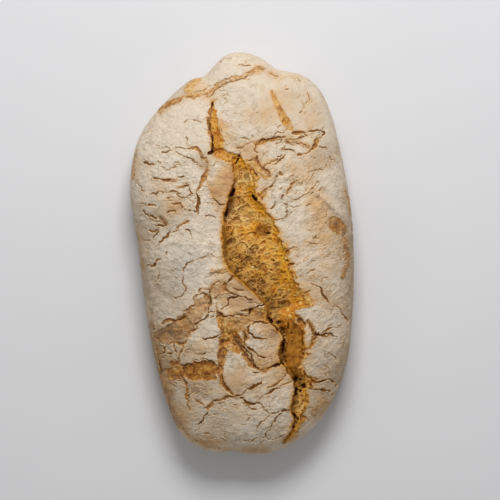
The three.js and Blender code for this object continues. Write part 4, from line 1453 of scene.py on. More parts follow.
def apply_tree(piece: bpy.types.Object, shape: ShapeTree) -> bpy.types.Object:
    """Run a node tree on a piece and keep its result as a plain mesh.

    Args:
        piece: The piece.
        shape: The tree and its sizes.

    Returns:
        The piece, with its new mesh and no modifier.
    """
    tree, sizes = shape.tree(), shape.sizes()
    modifier = piece.modifiers.new(tree.name, "NODES")
    modifier.node_group = tree
    for item in tree.interface.items_tree:
        if item.in_out == "INPUT" and item.name in sizes:
            modifier[item.identifier] = sizes[item.name]
    depsgraph = bpy.context.evaluated_depsgraph_get()
    made = bpy.data.meshes.new_from_object(
        piece.evaluated_get(depsgraph), preserve_all_data_layers=True, depsgraph=depsgraph)
    piece.modifiers.remove(modifier)
    old = piece.data
    piece.data = made
    bpy.data.meshes.remove(old)
    made.name = piece.name
    return piece


# Turns of the skin's grain on both sides of the loaf, in degrees, and where across it one becomes the other
GRAIN_TURNS = (-6.0, 36.0)
GRAIN_CHANGE = (-12 * MM, 18 * MM)


def leaning(slant: Value, drawings: Iterable[Value]) -> Value:
    """Go from a drawing at the first turn of the grain to one at the second."""
    level, slanting = drawings
    return level + (slanting - level) * slant


def skin_folds(graph: Graph, place: Value) -> tuple[Value, Value]:
    """Fine folds of the skin: level on the left of the loaf, slanting up on its right, in patches.

    Args:
        graph: The graph to add to, of a material or of a shape.
        place: Places in metres.

    Returns:
        Soft swell from -0.5 to 0.5, and short broken crease lines from 0 to 1.
    """
    across = graph.axis(place, "X")
    slant = across.ease(*GRAIN_CHANGE)
    soft, lined = (
        leaning(slant, (graph.folded(graph.stretched(place, turn, spans)) for turn in GRAIN_TURNS))
        for spans in ((5.5, 2.2, 5.0), (6.0, 2.6, 6.0))
    )
    calm = 0.25 + graph.other(across, "Y").ease(0.115, 0.085) * 0.75
    drawn = graph.noise(22, 2, 0.5, place).ease(0.34, 0.62) * calm
    dashes = 1 - (lined * 2 - 1).math("ABSOLUTE") * 14
    broken = graph.noise(3.6, 2, 0.5, place).ease(0.44, 0.54)
    return (soft - 0.5) * (0.2 + drawn * 0.8), dashes.clip() * broken * (0.3 + drawn * 0.7)


def skin_flakes(graph: Graph, place: Value) -> Value:
    """Small flakes that the skin broke into, along its folds.

    Args:
        graph: The graph to add to, of a material or of a shape.
        place: Places in metres.

    Returns:
        Distance from the creases between flakes, 0 in a crease and about 0.5 in the middle of a flake.
    """
    torn = graph.warped(place, 300.0, 4.0, 0.008)
    flakes = (graph.edges(graph.stretched(torn, turn, (6.4, 3.2, 5.0))) for turn in GRAIN_TURNS)
    return leaning(graph.axis(place, "X").ease(*GRAIN_CHANGE), flakes)


@dataclass(frozen=True)
class CrustSkin(ShapeTree):
    """Relief of the baked skin, raised by a node tree: soft folds, flakes, creases and a fine grain."""

    fold_depth: float = 2.2
    flake_depth: float = 0.4
    crease_depth: float = 0.3
    grain_depth: float = 0.5
    grain_span: float = 1.9
    flat_below: float = 1.5

    def tree(self) -> bpy.types.NodeTree:
        """Build the node tree.

        Returns:
            The tree, with its material.
        """
        graph, given = self.start("crust_skin")
        place = graph.node("GeometryNodeInputPosition", {}, {})
        swell, crease = skin_folds(graph, place)
        sockets = {"Vector": place, "Scale": 0.6 / given["grain_span"], "Detail": 2.0}
        grain = graph.node("ShaderNodeTexNoise", {}, sockets, "Fac")
        folds = swell * given["fold_depth"] - crease * given["crease_depth"]
        height = graph.axis(place, "Z")
        calm = graph.other(height, "Y").ease(0.1, 0.06) * 0.8 + 0.2
        flakes = (skin_flakes(graph, place).ease(0.0, 0.3) - 0.7) * given["flake_depth"]
        flakes = flakes * graph.noise(13, 2, 0.5, place).ease(0.36, 0.66)
        raised = folds + (flakes + (grain - 0.5) * given["grain_depth"]) * calm
        free = ((height - given["flat_below"]) * 400).clip()
        normal = graph.node("GeometryNodeInputNormal", {}, {})
        offset = graph.vector("SCALE", {0: normal, "Scale": raised * free})
        moved = graph.node("GeometryNodeSetPosition", {}, {"Geometry": given["Geometry"], "Offset": offset})
        return finish_shape(graph, moved, FlouredCrust().material())


@dataclass(frozen=True)
class FlouredCrust:
    """Crust finish: flour over browned crust, worn through at cracks and bare places."""

    flour_bright: Colour = srgb(238, 224, 204)
    flour_dull: Colour = srgb(219, 200, 174)
    grey_flour_and_painted_shade: Colour = srgb(196, 187, 176)
    flour_thin: Colour = srgb(218, 178, 130)
    flour_orange: Colour = srgb(226, 180, 124)
    flour_deep: Colour = srgb(198, 148, 102)
    rim_and_painted_shade: Colour = srgb(168, 142, 112)
    flour_lit: Colour = srgb(238, 216, 182)
    dusting: Colour = srgb(206, 182, 156)
    scorch: Colour = srgb(180, 138, 84)
    crease: Colour = srgb(150, 120, 86)
    speck: Colour = srgb(104, 70, 38)
    speck_span: float = 3.4
    baked: tuple = (
        (0.0, srgb(218, 184, 142)), (0.22, srgb(200, 152, 92)), (0.42, srgb(168, 114, 48)),
        (0.64, srgb(112, 70, 28)), (1.0, srgb(34, 14, 6)),
    )
    glowing: tuple = (
        (0.0, srgb(236, 196, 126)), (0.22, srgb(218, 160, 68)), (0.42, srgb(184, 114, 28)),
        (0.64, srgb(122, 58, 14)), (1.0, srgb(34, 6, 6)),
    )
    roughness: float = 0.95
    worn_gloss: float = 0.25
    specular: float = 0.22
    grain_depth: float = 0.35

    def flour(self, graph: Graph, crackle: Value) -> Value:
        """Colour of the flour.

        Args:
            graph: The material's graph.
            crackle: Faint lines in the flour.

        Returns:
            The colour, thinner and tanner near breaks and in warm spots, greyer and darker at the rim, with
            painted shade in the grey and shade spots and in the creases, and painted highlights below cracks.
        """
        crack, bare, warm, lit, rim = (graph.attribute(n) for n in ("crack", "bare", "warm", "lit", "rim"))
        crease = skin_folds(graph, graph.place())[1]
        mottle = graph.noise(1.5, 3, 0.65)
        blotch = graph.noise(9, 3, 0.55)
        cloud = graph.noise(26, 2, 0.5)
        fringe = crack.ease(1.6, 0.0) * 0.2 + bare.ease(-3.5, 0.3) * (0.2 + blotch * 0.6)
        thin = fringe + warm * 0.8 + (blotch - 0.5) * 1.4 + (mottle - 0.5) * 0.8 - 0.05
        tan = graph.mix(graph.attribute("amber"), self.flour_thin, self.flour_orange)
        scorched = crack.ease(0.8, 0.1) * graph.attribute("dark").ease(0.34, 0.44)
        settings = {"feature": "F1"}
        sockets = {"Vector": graph.place(), "Scale": 1.0 / (self.speck_span * MM)}
        spots = graph.node("ShaderNodeTexVoronoi", settings, sockets, "Distance")
        chosen = graph.node("ShaderNodeSeparateColor", {}, {"Color": graph.other(spots, "Color")}, "Red")
        return graph.coat(
            graph.mix(mottle.ease(0.12, 0.8), self.flour_dull, self.flour_bright),
            # Greyer flour in random clouds and where warmth is below 0, partly painted shade on the shaded
            # sides of ridges and lobes
            (((cloud - 0.5) * 2 - warm * 0.9).ease(0.0, 1.0) * 0.7, self.grey_flour_and_painted_shade),
            (thin.ease(0.0, 1.0), tan),
            (thin.ease(0.8, 1.7), self.flour_deep),
            # Greyer, darker flour at the rim, with painted shade from the shade spots
            ((rim + (blotch - 0.5) * 1.2 * rim).clip() * 0.75, self.rim_and_painted_shade),
            # Painted highlight below crack edges
            (lit * 0.7, self.flour_lit),
            (scorched * (0.05 + mottle * 0.35), self.scorch),
            # Darker crease lines, partly thinner flour in the creases and partly painted shade, then faint
            # crackle lines
            (crease * 0.6, self.crease),
            (crackle * 0.3, self.crease),
            (spots.ease(0.16, 0.08) * chosen.ease(0.7, 0.8) * 0.65, self.speck),
        )

    def material(self) -> bpy.types.Material:
        """Build the crust material.

        Returns:
            The material.
        """
        material, graph = new_material("floured_crust")
        crack, dark, bare, tone, amber = (
            graph.attribute(name) for name in ("crack", "dark", "bare", "tone", "amber")
        )
        coarse, grain, fine = graph.noise(2.6, 3, 0.6), graph.noise(1.1, 3, 0.6), graph.noise(0.6, 2, 0.6)
        shade = (tone * 0.85 + (coarse - 0.5) * 0.75 + (grain - 0.5) * 0.95).clip()
        dust = (graph.noise(5, 3, 0.6).ease(0.3, 0.7) * 0.3 + 0.1) * (1 - amber)
        baked = graph.mix(dust, graph.ramp(shade, self.baked), self.dusting)
        baked = graph.mix(amber, baked, graph.ramp(shade, self.glowing))
        worn = (bare + (coarse - 0.5) * 1.9 + (grain - 0.5) * 1.8).ease(-0.4, 0.4)
        flakes = skin_flakes(graph, graph.place())
        calm = graph.axis(graph.place(), "Y").ease(0.1, 0.06) * 0.7 + 0.3
        broken = graph.noise(5, 3, 0.7).ease(0.44, 0.6) * calm
        crackle = flakes.ease(0.055, 0.0) * broken
        surface = graph.mix(worn, self.flour(graph, crackle), baked)
        line = (crack + (grain - 0.5) * 0.9).ease(0.17, -0.14)
        deep = (dark + 0.07 + (coarse - 0.5) * 0.6).clip()
        gash = graph.mix(amber, graph.ramp(deep, self.baked), graph.ramp(deep, self.glowing))
        height = fine * 0.7 + graph.noise(1.5, 2, 0.5) * (0.2 + calm * 0.5) + grain * worn * 1.6 - line * 0.8
        height = height + flakes.ease(0.0, 0.16) * (0.1 + broken * 0.65)
        finish_surface(graph, {
            "Base Color": graph.mix(line, surface, gash),
            "Roughness": self.roughness - worn * self.worn_gloss,
            "Normal": graph.bump(height, self.grain_depth),
            "Specular IOR Level": self.specular,
        })
        return material


@dataclass(frozen=True)
class Hole:
    """A hollow in the crumb, painted dark as shade: its middle, half sizes, turn in degrees and depth share.
    """

    at: tuple[float, float]
    half: tuple[float, float]
    turn: float = 0.0
    depth: float = 1.0

    def depth_at(self, x: Array, y: Array) -> Array:
        """How deep the hollow is.

        Args:
            x: Places across.
            y: Places along.

        Returns:
            Shares of the full depth, 0 outside the hollow.
        """
        across, along = turned(x - self.at[0], y - self.at[1], self.turn)
        out = np.hypot(across / self.half[0], along / self.half[1])
        out = out + 0.4 * patchy(x, y, 2.2, 77) + 0.25 * patchy(x, y, 0.9, 78)
        return self.depth * ease(1.15, 0.55, out)


HOLES = tuple(Hole((x, y), (across, along), *rest) for x, y, across, along, *rest in (
    (-3.4, 64.2, 0.7, 5.2, -30, 0.9), (-6.8, 42.4, 1.8, 4.2, -35), (-11, 30, 1.1, 6.4, -6, 0.9),
    (8.6, 39, 1.5, 3, 28, 0.9), (18.6, 14, 1.8, 0.9, 0, 0.9), (14.6, 16, 4.2, 3.2, 20, 0.25),
    (-4.8, -4.4, 4.2, 1.4, 12, 0.45), (8, -9.6, 2.8, 1.8, -20, 0.4), (-1, -11.6, 2, 1.5, -30, 0.4),
    (9.4, 2.2, 1.1, 1.1, 0, 0.5), (24.4, -10, 2.2, 1.8, 0, 0.3), (28.6, -13.4, 1.6, 1.4, 0, 0.4),
    (30.6, -18.6, 0.9, 1.7, 0, 0.4), (20.3, -11.8, 0.9, 0.7, 0, 0.6), (22, -5.3, 1.1, 0.8, -30, 0.6),
    (8.4, -25.6, 2.2, 1.1, -20, 0.55), (12.8, -27.8, 1.7, 2.6, 0, 0.4), (18.8, -32, 5, 2.4, 15, 0.35),
    (21.5, -38.6, 3.4, 1.6, 0, 0.4), (26, -39, 2.6, 1.8, 0, 0.4), (18.6, -45.6, 1.1, 0.9, 0, 1),
    (20.4, -47.4, 1.7, 1.7, 0, 1), (25.6, -48.2, 1.5, 1, 25, 0.8), (23.6, -52.4, 0.8, 2.3, 38, 0.9),
    (28.6, -62, 1.9, 16, 3, 0.5), (27.6, -57, 1.2, 1.6, 20, 1), (29.3, -60.6, 1.1, 1.2, 0, 1),
    (28.7, -63.8, 1.1, 2, 14, 1), (28.3, -67.8, 1, 1.5, 10, 1), (29.4, -71.8, 0.8, 1.3, 0, 0.7),
    (30.6, -75.4, 0.9, 1, 0, 1), (27.8, -77.2, 1.8, 1.3, 0, 1), (32.2, -51, 0.7, 2.6, 0, 0.6),
    (42.2, -61, 0.9, 7, 0, 0.45), (34.2, -55.8, 0.6, 0.6, 0, 0.8), (34.9, -61.6, 0.9, 0.7, 30, 0.45),
    (37.2, -88, 2, 3.4, -28, 0.85), (40.4, -88, 1.6, 0.9, 0, 0.6), (43, -92.4, 1.4, 2.4, 30, 0.75),
    (37.6, -97, 1.6, 3.4, -4, 0.85), (40.6, -96.4, 1.4, 1.3, 0, 0.7), (36, -113.6, 1.6, 2.6, 0, 0.7),
    (39, -115.6, 0.8, 0.8, 0, 0.6), (35.4, -121.6, 1.6, 1, 25, 1), (32, -126, 1, 2.2, -40, 0.7),
))


@dataclass(frozen=True)
class Bubbles:
    """Gas bubbles that the split cut open, packed from the largest to the smallest."""

    placed: tuple[tuple[float, float, float], ...] = (
        (-7.5, 8.5, 3.2), (-4.5, 22, 3.0), (1.5, 31, 2.8), (6, 12, 2.8), (-4.5, -3.5, 3.0), (8, -8.5, 2.6),
        (24, -9.5, 2.6), (0, 48, 2.2), (2, 57, 1.8),
    )
    largest: float = 3.4
    smallest: float = 0.6
    tries: int = 11000
    falloff: float = 3.0
    overlap: float = 0.8
    stretch: float = 1.85
    turn: float = 27.0
    stray: float = 2.0
    gap: float = 3.0
    seed: int = 31

    def squeezed(self, x: Array, y: Array) -> Array:
        """Places in the bubbles' own directions, squeezed so that a bubble is round."""
        across, along = turned(x, y, self.turn)
        return np.stack([across / self.stretch, along], axis=1)

    def pack(self, places: Array, share: Array) -> Array:
        """Pack bubbles over a surface.

        Args:
            places: Squeezed places of the surface.
            share: How large the bubbles grow at each place, 1 being their full size.

        Returns:
            One row for each bubble: its middle and its radius.
        """
        rng = np.random.default_rng(self.seed)
        order = rng.integers(len(places), size=self.tries)
        fade = (1 - np.arange(self.tries) / self.tries) ** self.falloff
        radii = (self.smallest + (self.largest - self.smallest) * fade) * share[order]
        count = len(self.placed)
        packed = np.empty((self.tries + count, 3))
        across, along, packed[:count, 2] = np.array(self.placed).T
        packed[:count, :2] = self.squeezed(across, along)
        for middle, radius in zip(places[order], radii):
            gaps = np.hypot(*(packed[:count, :2] - middle).T) - self.overlap * (packed[:count, 2] + radius)
            if gaps.min() > 0:
                packed[count] = (*middle, radius)
                count += 1
        return packed[:count]

    def cut(self, x: Array, y: Array, share: Array) -> dict[str, Array]:
        """Cut the bubbles open along a surface.

        Args:
            x: Places across.
            y: Places along.
            share: How large the bubbles grow at each place.

        Returns:
            Depth of the bubbles, how far from the wall to the next bubble each place lies, and a chance for
            each bubble.
        """
        sway = self.stray * patchy(x, y, 4.2, self.seed + 1), self.stray * patchy(x, y, 4.2, self.seed + 2)
        ragged = 0.22 * patchy(x, y, 1.4, self.seed + 3)
        places = self.squeezed(x + sway[0] + ragged, y + sway[1] - ragged)
        bubbles = self.pack(places, share)
        luck = np.random.default_rng(self.seed + 4).random(len(bubbles))
        first, second = np.full((2, len(x)), -self.gap)
        size, chance = np.ones_like(x), np.full_like(x, 0.5)
        for (u, v, radius), chosen in zip(bubbles, luck):
            reach = radius + self.gap
            near = np.flatnonzero((np.abs(places[:, 0] - u) < reach) & (np.abs(places[:, 1] - v) < reach))
            inner = radius - np.hypot(places[near, 0] - u, places[near, 1] - v)
            best = inner > first[near]
            second[near] = np.where(best, first[near], np.maximum(second[near], inner))
            first[near[best]], size[near[best]], chance[near[best]] = inner[best], radius, chosen
        inside = first - second
        bowl = 1 - (1 - np.clip(inside / (1.2 * size), 0.0, 1.0)) ** 2
        depth = size * (0.35 + 0.6 * chance) * bowl
        return {"depth": depth, "inside": inside, "chance": chance}


@dataclass
class CrumbBed:
    """The open crumb between the lips of the long split."""

    form: LoafForm
    split: LongSplit
    step: float = 0.32
    tuck: float = 1.6
    thickness: float = 9.0

    def outline(self) -> Array:
        """Edge of the bed, tucked a little under both lips.

        Returns:
            Places along the edge, anticlockwise.
        """
        y = np.arange(self.split.top + 0.6, self.split.bottom - 0.6, -self.step * 1.3)
        left, right = self.split.lips(np.clip(y, self.split.bottom, self.split.top))
        down = np.stack([left - self.tuck, y], axis=1)
        return np.vstack([down, np.stack([right + self.tuck, y], axis=1)[::-1]])

    def build(self) -> bpy.types.Object:
        """Make the bed's mesh.

        Returns:
            The crumb object, closed, with its character as attributes.
        """
        edge = self.outline()
        rows = np.arange(self.split.bottom, self.split.top, self.step * math.sqrt(3) / 2)
        inner = []
        for number, y in enumerate(rows):
            left, right = (v[0] for v in self.split.lips(np.array([y])))
            start = left - self.tuck + self.step * (0.7 + 0.5 * (number % 2))
            inner.append([(x, y) for x in np.arange(start, right + self.tuck - 0.6 * self.step, self.step)])
        inner = np.array([place for row in inner for place in row])
        flat = np.vstack([edge, inner])
        ring = list(range(len(edge)))
        faces = fill(flat, ring)
        height = self.form.crust(flat[:, 0], flat[:, 1], self.split) - self.split.sunk(flat[:, 0], flat[:, 1])
        under = np.column_stack([edge, height[ring] - self.thickness])
        first = len(flat)
        under_faces = [[first + i for i in face[::-1]] for face in fill(edge, ring)]
        walls = [[first + i, first + (i + 1) % len(edge), (i + 1) % len(edge), i] for i in ring]
        places = np.vstack([np.column_stack([flat, height]), under])
        values = self.character(flat[:, 0], flat[:, 1])
        values = {name: np.pad(value, (0, len(under))) for name, value in values.items()}
        return apply_tree(make_mesh("crumb", places, faces + under_faces + walls, values), CrumbWeb())

    def character(self, x: Array, y: Array) -> dict[str, Array]:
        """How open, browned and hollow the crumb is.

        Args:
            x: Places across.
            y: Places along.

        Returns:
            Smoothness of the bare ramps; openness, from a smooth ramp at 0 to an open web at 1; the wall
            under the left lip; warmth, from cream at 0 to amber at 1; olive_and_painted_shade, how dark and
            olive it is, with painted shade near the left lip and in the recess; hollow, how far it drops into
            a hole, which is painted dark as shade; the bright frill at the right lip; pale places; painted
            shadow under the left lip; and the depth, inside and chance of the bubbles.
        """
        def along(low: float, high: float) -> Array:
            """Ease along the loaf."""
            return ease(low, high, y)

        def spot(at_x: float, at_y: float, half_x: float, half_y: float) -> Array:
            """A soft spot, 1 in its middle."""
            return hump(x, at_x, half_x) * hump(y, at_y, half_y)

        left, right = self.split.lips(np.clip(y, self.split.bottom, self.split.top))
        inset = x - left
        across = np.clip(inset / (right - left), 0.0, 1.0)
        ramp = along(-43, -49) * along(-88, -83) * ease(0.2, 0.34, across)
        border = ease(6.0, 1.0, right - x + 1.8 * patchy(x, y, 4.0, 71))
        around = np.hypot((x - 14) / 5.2, (y - 16) / 4.4)
        pocket = ease(1.2, 0.7, around)
        crescent = hump(around, 1.15, 0.22) * ease(16, 11, x)
        comb = np.exp(-((x - 19.5) ** 2 + (y - 22.5) ** 2) / 14)
        recess = ease(1.0, 0.1, np.hypot((inset - 0.5) / 7.4, (y - 31) / 14.0))
        frill = ease(14, 7, right - x) * along(-14, -24) * along(-50, -42)
        wall = ease(2.6, 0.8, inset)
        tip, tail = along(42, 50), along(-78, -86)
        warm = (
            0.1 + 0.3 * patchy(x, y, 7.0, 72) + 0.5 * across**1.5 + 0.6 * border + 0.8 * ramp + 0.5 * pocket
            + 0.9 * crescent - 0.7 * comb + 0.5 * frill - 0.6 * tip + 0.6 * along(56, 60)
            + 0.5 * spot(27, -15, 8, 8)
        )
        # Darker, more olive crumb in random patches and towards the lower end, and painted shade in the
        # recess and along the left lip
        olive_and_painted_shade = (
            0.4 * patchy(x, y, 6.0, 73) - 0.1 + 0.6 * recess - 0.6 * tip - 0.8 * crescent - 0.6 * comb - frill
            + 0.35 * along(12, -4) * ease(24, 8, x) + 0.35 * along(26, 14) * ease(9, 0, inset)
            + 0.25 * along(22, 12) * ease(10, 0, inset) + 0.4 * along(20, 12) * ease(14, 8, inset)
            + 0.25 * along(20, 12) * along(-14, -6) * ease(0.7, 0.5, across)
            - 0.25 * along(16, 8) * along(-16, -8) * ease(0.5, 0.65, across)
            - 0.35 * along(22, 28) + 0.3 * along(6, -10) + 0.25 * along(-14, -22) + 0.4 * along(-16, -40)
            + 0.25 * along(-12, -18) * along(-42, -36) - 0.3 * along(-36, -42) + 0.35 * along(-80, -86)
            + 0.3 * spot(-6, 13, 5, 6) + 0.7 * spot(4, -5, 6, 5) - 0.6 * spot(24, -26, 6, 7)
            - 1.2 * spot(39.6, -103, 4, 5)
        )
        pale = (
            0.2 * tip * along(60, 53) + 0.22 * frill * ease(2, 6, right - x) + 0.34 * spot(5, 29, 7, 9)
            + 0.2 * spot(22, -5, 7, 9) + 0.3 * spot(23, -36, 6, 5)
            + 0.14 * ease(0.5, 0.8, across) * (y > -44)
        )
        hollow = np.maximum.reduce([hole.depth_at(x, y) for hole in HOLES])
        share = (0.8 + 0.35 * patchy(x, y, 12.0, 74)) * (1 - 0.35 * tip) * (1 - 0.45 * tail)
        share = share * (1 - 0.4 * border) * (1 - 0.6 * comb) * (1 - 0.45 * frill)
        return {
            "smooth": np.clip(ramp + 0.7 * pocket, 0.0, 1.0),
            "openness": (1 - 0.9 * ramp) * (1 - 0.25 * tip) * (1 - 0.85 * pocket) * (1 - 0.5 * wall),
            "wall": wall,
            "warm": np.clip(warm * (1 - 0.6 * tail), 0.0, 1.0),
            "olive_and_painted_shade": np.clip(olive_and_painted_shade * (1 - border) * (1 - ramp), 0.0, 1.0),
            "hollow": hollow * (1 - frill),
            "frill": frill,
            "pale": pale,
            "shadow": np.clip(recess + 0.1 * tail, 0.0, 1.0),
            **Bubbles().cut(x, y, share),
        }


@dataclass(frozen=True)
class CrumbWeb(ShapeTree):
    """Relief of the crumb, made by a node tree: sunk bubbles and hollows, with fine threads across them."""

    pore_depth: float = 0.65
    thread_depth: float = 0.3
    thread_span: float = 2.2
    hollow_depth: float = 3.0

    def tree(self) -> bpy.types.NodeTree:
        """Build the node tree.

        Returns:
            The tree, with its material.
        """
        graph, given = self.start("crumb_web")
        place = graph.node("GeometryNodeInputPosition", {}, {})
        depth, inside, openness, hollow, shadow = (
            graph.node("GeometryNodeInputNamedAttribute", {"data_type": "FLOAT"}, {"Name": name}, "Attribute")
            for name in ("depth", "inside", "openness", "hollow", "shadow")
        )
        thread = graph.edges(graph.warped(place, 330.0, 3.0, 0.004), 1 / given["thread_span"])
        pit = depth * given["pore_depth"] + thread.ease(0.0, 0.3) * given["thread_depth"]
        down = pit * openness + (hollow + shadow * 0.8) * given["hollow_depth"]
        drop = graph.node("ShaderNodeCombineXYZ", {}, {2: 0 - down})
        moved = graph.node("GeometryNodeSetPosition", {}, {"Geometry": given["Geometry"], "Offset": drop})
        strands = (inside.ease(0.75, 0.1) + thread.ease(0.12, 0.0) * 0.3) * (0.25 + openness * 0.75)
        kept = graph.node("GeometryNodeStoreNamedAttribute", {"data_type": "FLOAT", "domain": "POINT"}, {
            "Geometry": moved, "Name": "strands", "Value": strands.clip(),
        })
        return finish_shape(graph, kept, OpenCrumb().material())


@dataclass(frozen=True)
class OpenCrumb:
    """Crumb finish: pale strands over golden pores, amber at the torn edges, with painted shade dark in the
    holes, deep in the pores and under the left lip.
    """

    strand_cream: Colour = srgb(246, 212, 142)
    strand_gold: Colour = srgb(246, 186, 60)
    strand_olive: Colour = srgb(188, 136, 56)
    rim_tan: Colour = srgb(204, 148, 54)
    rim_amber: Colour = srgb(212, 136, 8)
    rim_olive: Colour = srgb(142, 89, 14)
    # The pore colours are darker than the rim colours, partly as painted shade deep in the pores
    pore_tan: Colour = srgb(154, 92, 12)
    pore_amber: Colour = srgb(172, 88, 0)
    pore_olive: Colour = srgb(94, 53, 2)
    torn_orange: Colour = srgb(190, 112, 30)
    painted_shade_brown: Colour = srgb(92, 52, 14)
    ramp_pale: Colour = srgb(212, 154, 70)
    ramp_gold: Colour = srgb(192, 131, 36)
    ramp_dark: Colour = srgb(134, 75, 12)
    # Near black painted shade at the bottom of the holes
    hole: Colour = srgb(38, 10, 4)
    roughness: float = 0.5
    specular: float = 0.22
    grain_depth: float = 0.16
    scatter: float = 0.45
    scatter_reach: tuple[float, float, float] = (0.004, 0.002, 0.0008)

    def filaments(self, graph: Graph, turn: float, spans: tuple[float, float, float], patch: float) -> Value:
        """Bright filaments that run across the pores.

        Args:
            graph: The material's graph.
            turn: Direction of their long meshes, in degrees.
            spans: Sizes of a mesh, in millimetres.
            patch: Size of the patches that they fill, in millimetres.

        Returns:
            How much of a filament there is, from 0 to 1.
        """
        torn = graph.warped(graph.place(), 240.0, 3.0, 0.009)
        edge = graph.edges(graph.stretched(torn, turn, spans))
        return edge.ease(0.16, 0.0) * graph.noise(patch, 2).ease(0.34, 0.54)

    def material(self) -> bpy.types.Material:
        """Build the crumb material.

        Returns:
            The material.
        """
        material, graph = new_material("open_crumb")
        chance, hollow, inside, smooth, frill = (
            graph.attribute(name) for name in ("chance", "hollow", "inside", "smooth", "frill")
        )
        warm = (graph.attribute("warm") + (graph.noise(6.0, 3) - 0.44) * 2.8).clip()
        olive_and_painted_shade = (graph.attribute("olive_and_painted_shade") + (chance - 0.5) * 0.4 + (graph.noise(5.0, 2) - 0.5) * 0.8).clip()
        web = graph.attribute("strands") * (0.45 + graph.noise(3.4, 2).ease(0.34, 0.64) * 0.8)
        web = web + (graph.noise(1.2, 2, 0.5) - 0.5) * 0.35
        strand = graph.mix(warm, self.strand_cream, self.strand_gold)
        strand = graph.mix(olive_and_painted_shade * 0.85, strand, self.strand_olive)
        rim = graph.mix(olive_and_painted_shade, graph.mix(warm, self.rim_tan, self.rim_amber), self.rim_olive)
        pore = graph.mix(olive_and_painted_shade, graph.mix(warm, self.pore_tan, self.pore_amber), self.pore_olive)
        # Pores darken from their walls towards their middles as painted shade, with random pore tones
        deep = inside * 0.65 + (chance - 0.4) * 0.4 + (graph.noise(3.0, 2, 0.5) - 0.5) * 1.0
        crossing = self.filaments(graph, 24.0, (8.0, 3.6, 8.0), 4.0)
        crossing = crossing + self.filaments(graph, 50.0, (4.6, 2.6, 5.0), 6.0) * 0.8
        torn = graph.mix(graph.noise(2.4, 3, 0.6).ease(0.36, 0.64), pore, rim)
        ramp = graph.coat(
            graph.mix(graph.noise(3.0, 4, 0.6).ease(0.36, 0.64), self.ramp_dark, self.ramp_gold),
            (graph.noise(1.0, 3, 0.6).ease(0.52, 0.7) * 0.7, self.ramp_pale),
            (graph.noise(1.4, 2, 0.5).ease(0.38, 0.3) * 0.7, self.ramp_dark),
        )
        colour = graph.coat(
            graph.mix(deep.ease(0.0, 1.0), rim, pore),
            (web.ease(0.1, 1.0) * 0.75, strand),
            (crossing.clip() * (0.75 - smooth * 0.75), strand),
            (graph.attribute("wall") * 0.65, torn),
            (graph.attribute("pale"), strand),
            (graph.noise(2.2, 3, 0.6).ease(0.4, 0.56) * frill * 0.62, self.torn_orange),
            (graph.noise(1.4, 2, 0.5).ease(0.56, 0.66) * frill * 0.62, self.strand_cream),
            (smooth, ramp),
            # Painted shadow under the left lip and painted shade in the hollows, near black deepest in the
            # holes
            (graph.attribute("shadow") * 0.85, self.painted_shade_brown),
            (hollow.ease(0.1, 0.7), self.painted_shade_brown),
            (hollow.ease(0.7, 0.95), self.hole),
        )
        finish_surface(graph, {
            "Base Color": colour,
            "Roughness": self.roughness,
            "Normal": graph.bump(graph.noise(1.2, 2, 0.5), self.grain_depth),
            "Specular IOR Level": self.specular,
            "Subsurface Weight": self.scatter,
            "Subsurface Radius": self.scatter_reach,
        })
        return material


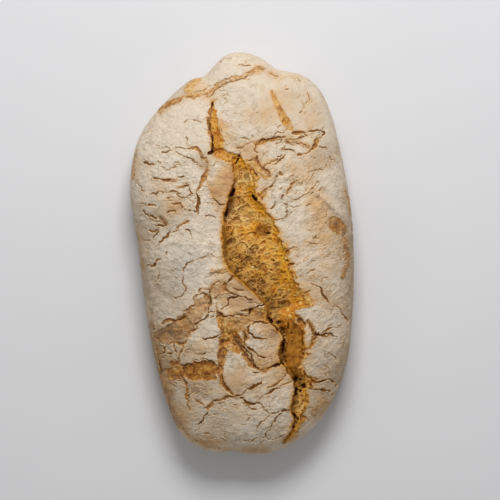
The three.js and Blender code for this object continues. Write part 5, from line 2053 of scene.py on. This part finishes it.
@dataclass(frozen=True)
class Studio:
    """Pale floor, soft light from beyond the tucked end, and a camera straight above."""

    frame_width: float = 350.0
    aim: tuple[float, float, float] = (5.6, 2.1, 24.0)
    camera_height: float = 4.0
    sensor: float = 36.0
    floor_size: float = 8.0
    floor_tints: tuple[Colour, Colour] = (srgb(229, 229, 231), srgb(233, 233, 235))
    lamp_place: tuple[float, float, float] = (0.03, 0.75, 0.94)
    lamp_size: tuple[float, float] = (0.52, 0.46)
    lamp_power: float = 10.0
    daylight: float = 0.305
    sight: float = 50.0

    def build(self) -> None:
        """Set up floor, lights and camera."""
        self.floor()
        self.lamp()
        world = bpy.data.worlds.new("studio")
        world.use_nodes = True
        background = world.node_tree.nodes["Background"]
        background.inputs["Color"].default_value = (1.0, 1.0, 1.0, 1.0)
        background.inputs["Strength"].default_value = self.daylight
        bpy.context.scene.world = world
        camera = bpy.data.cameras.new("camera")
        camera.sensor_width = self.sensor
        camera.lens = self.sensor * (self.camera_height - self.aim[2] * MM) / (self.frame_width * MM)
        camera.clip_end = self.sight
        holder = bpy.data.objects.new("camera", camera)
        holder.location = (self.aim[0] * MM, self.aim[1] * MM, self.camera_height)
        bpy.context.scene.collection.objects.link(holder)
        bpy.context.scene.camera = holder
        bpy.context.scene.view_settings.view_transform = "Standard"

    def floor(self) -> None:
        """Lay the pale floor."""
        half = self.floor_size / 2 / MM
        corners = np.array([(-half, -half, 0), (half, -half, 0), (half, half, 0), (-half, half, 0)])
        floor = make_mesh("floor", corners, [[0, 1, 2, 3]], {})
        material, graph = new_material("pale_floor")
        tint = graph.mix(graph.noise(60, 2), *self.floor_tints)
        finish_surface(graph, {"Base Color": tint, "Roughness": 0.9, "Specular IOR Level": 0.1})
        floor.data.materials.append(material)

    def lamp(self) -> None:
        """Hang the soft rectangular lamp that faces the loaf."""
        light = bpy.data.lights.new("key_light", "AREA")
        light.shape = "RECTANGLE"
        light.size, light.size_y = self.lamp_size
        light.energy = self.lamp_power
        holder = bpy.data.objects.new("key_light", light)
        holder.location = self.lamp_place
        holder.rotation_euler = (-Vector(self.lamp_place)).to_track_quat("-Z", "Y").to_euler()
        bpy.context.scene.collection.objects.link(holder)


def report(piece: bpy.types.Object) -> None:
    """Hang a finished piece on the loaf's body and log it.

    Args:
        piece: The piece.
    """
    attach(piece, "root")
    LOG.info("%s: %d faces", piece.name, len(piece.data.polygons))


def main() -> None:
    """Build the loaf's pieces in order, then the studio round it."""
    logging.basicConfig(level=logging.INFO, format="%(message)s")
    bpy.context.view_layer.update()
    form, split = LoafForm(), LongSplit()
    crust = CrustShell(form, split).build()
    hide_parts("loaf")
    report(crust)
    report(CrumbBed(form, split).build())
    Studio().build()


if __name__ == "__main__":
    main()
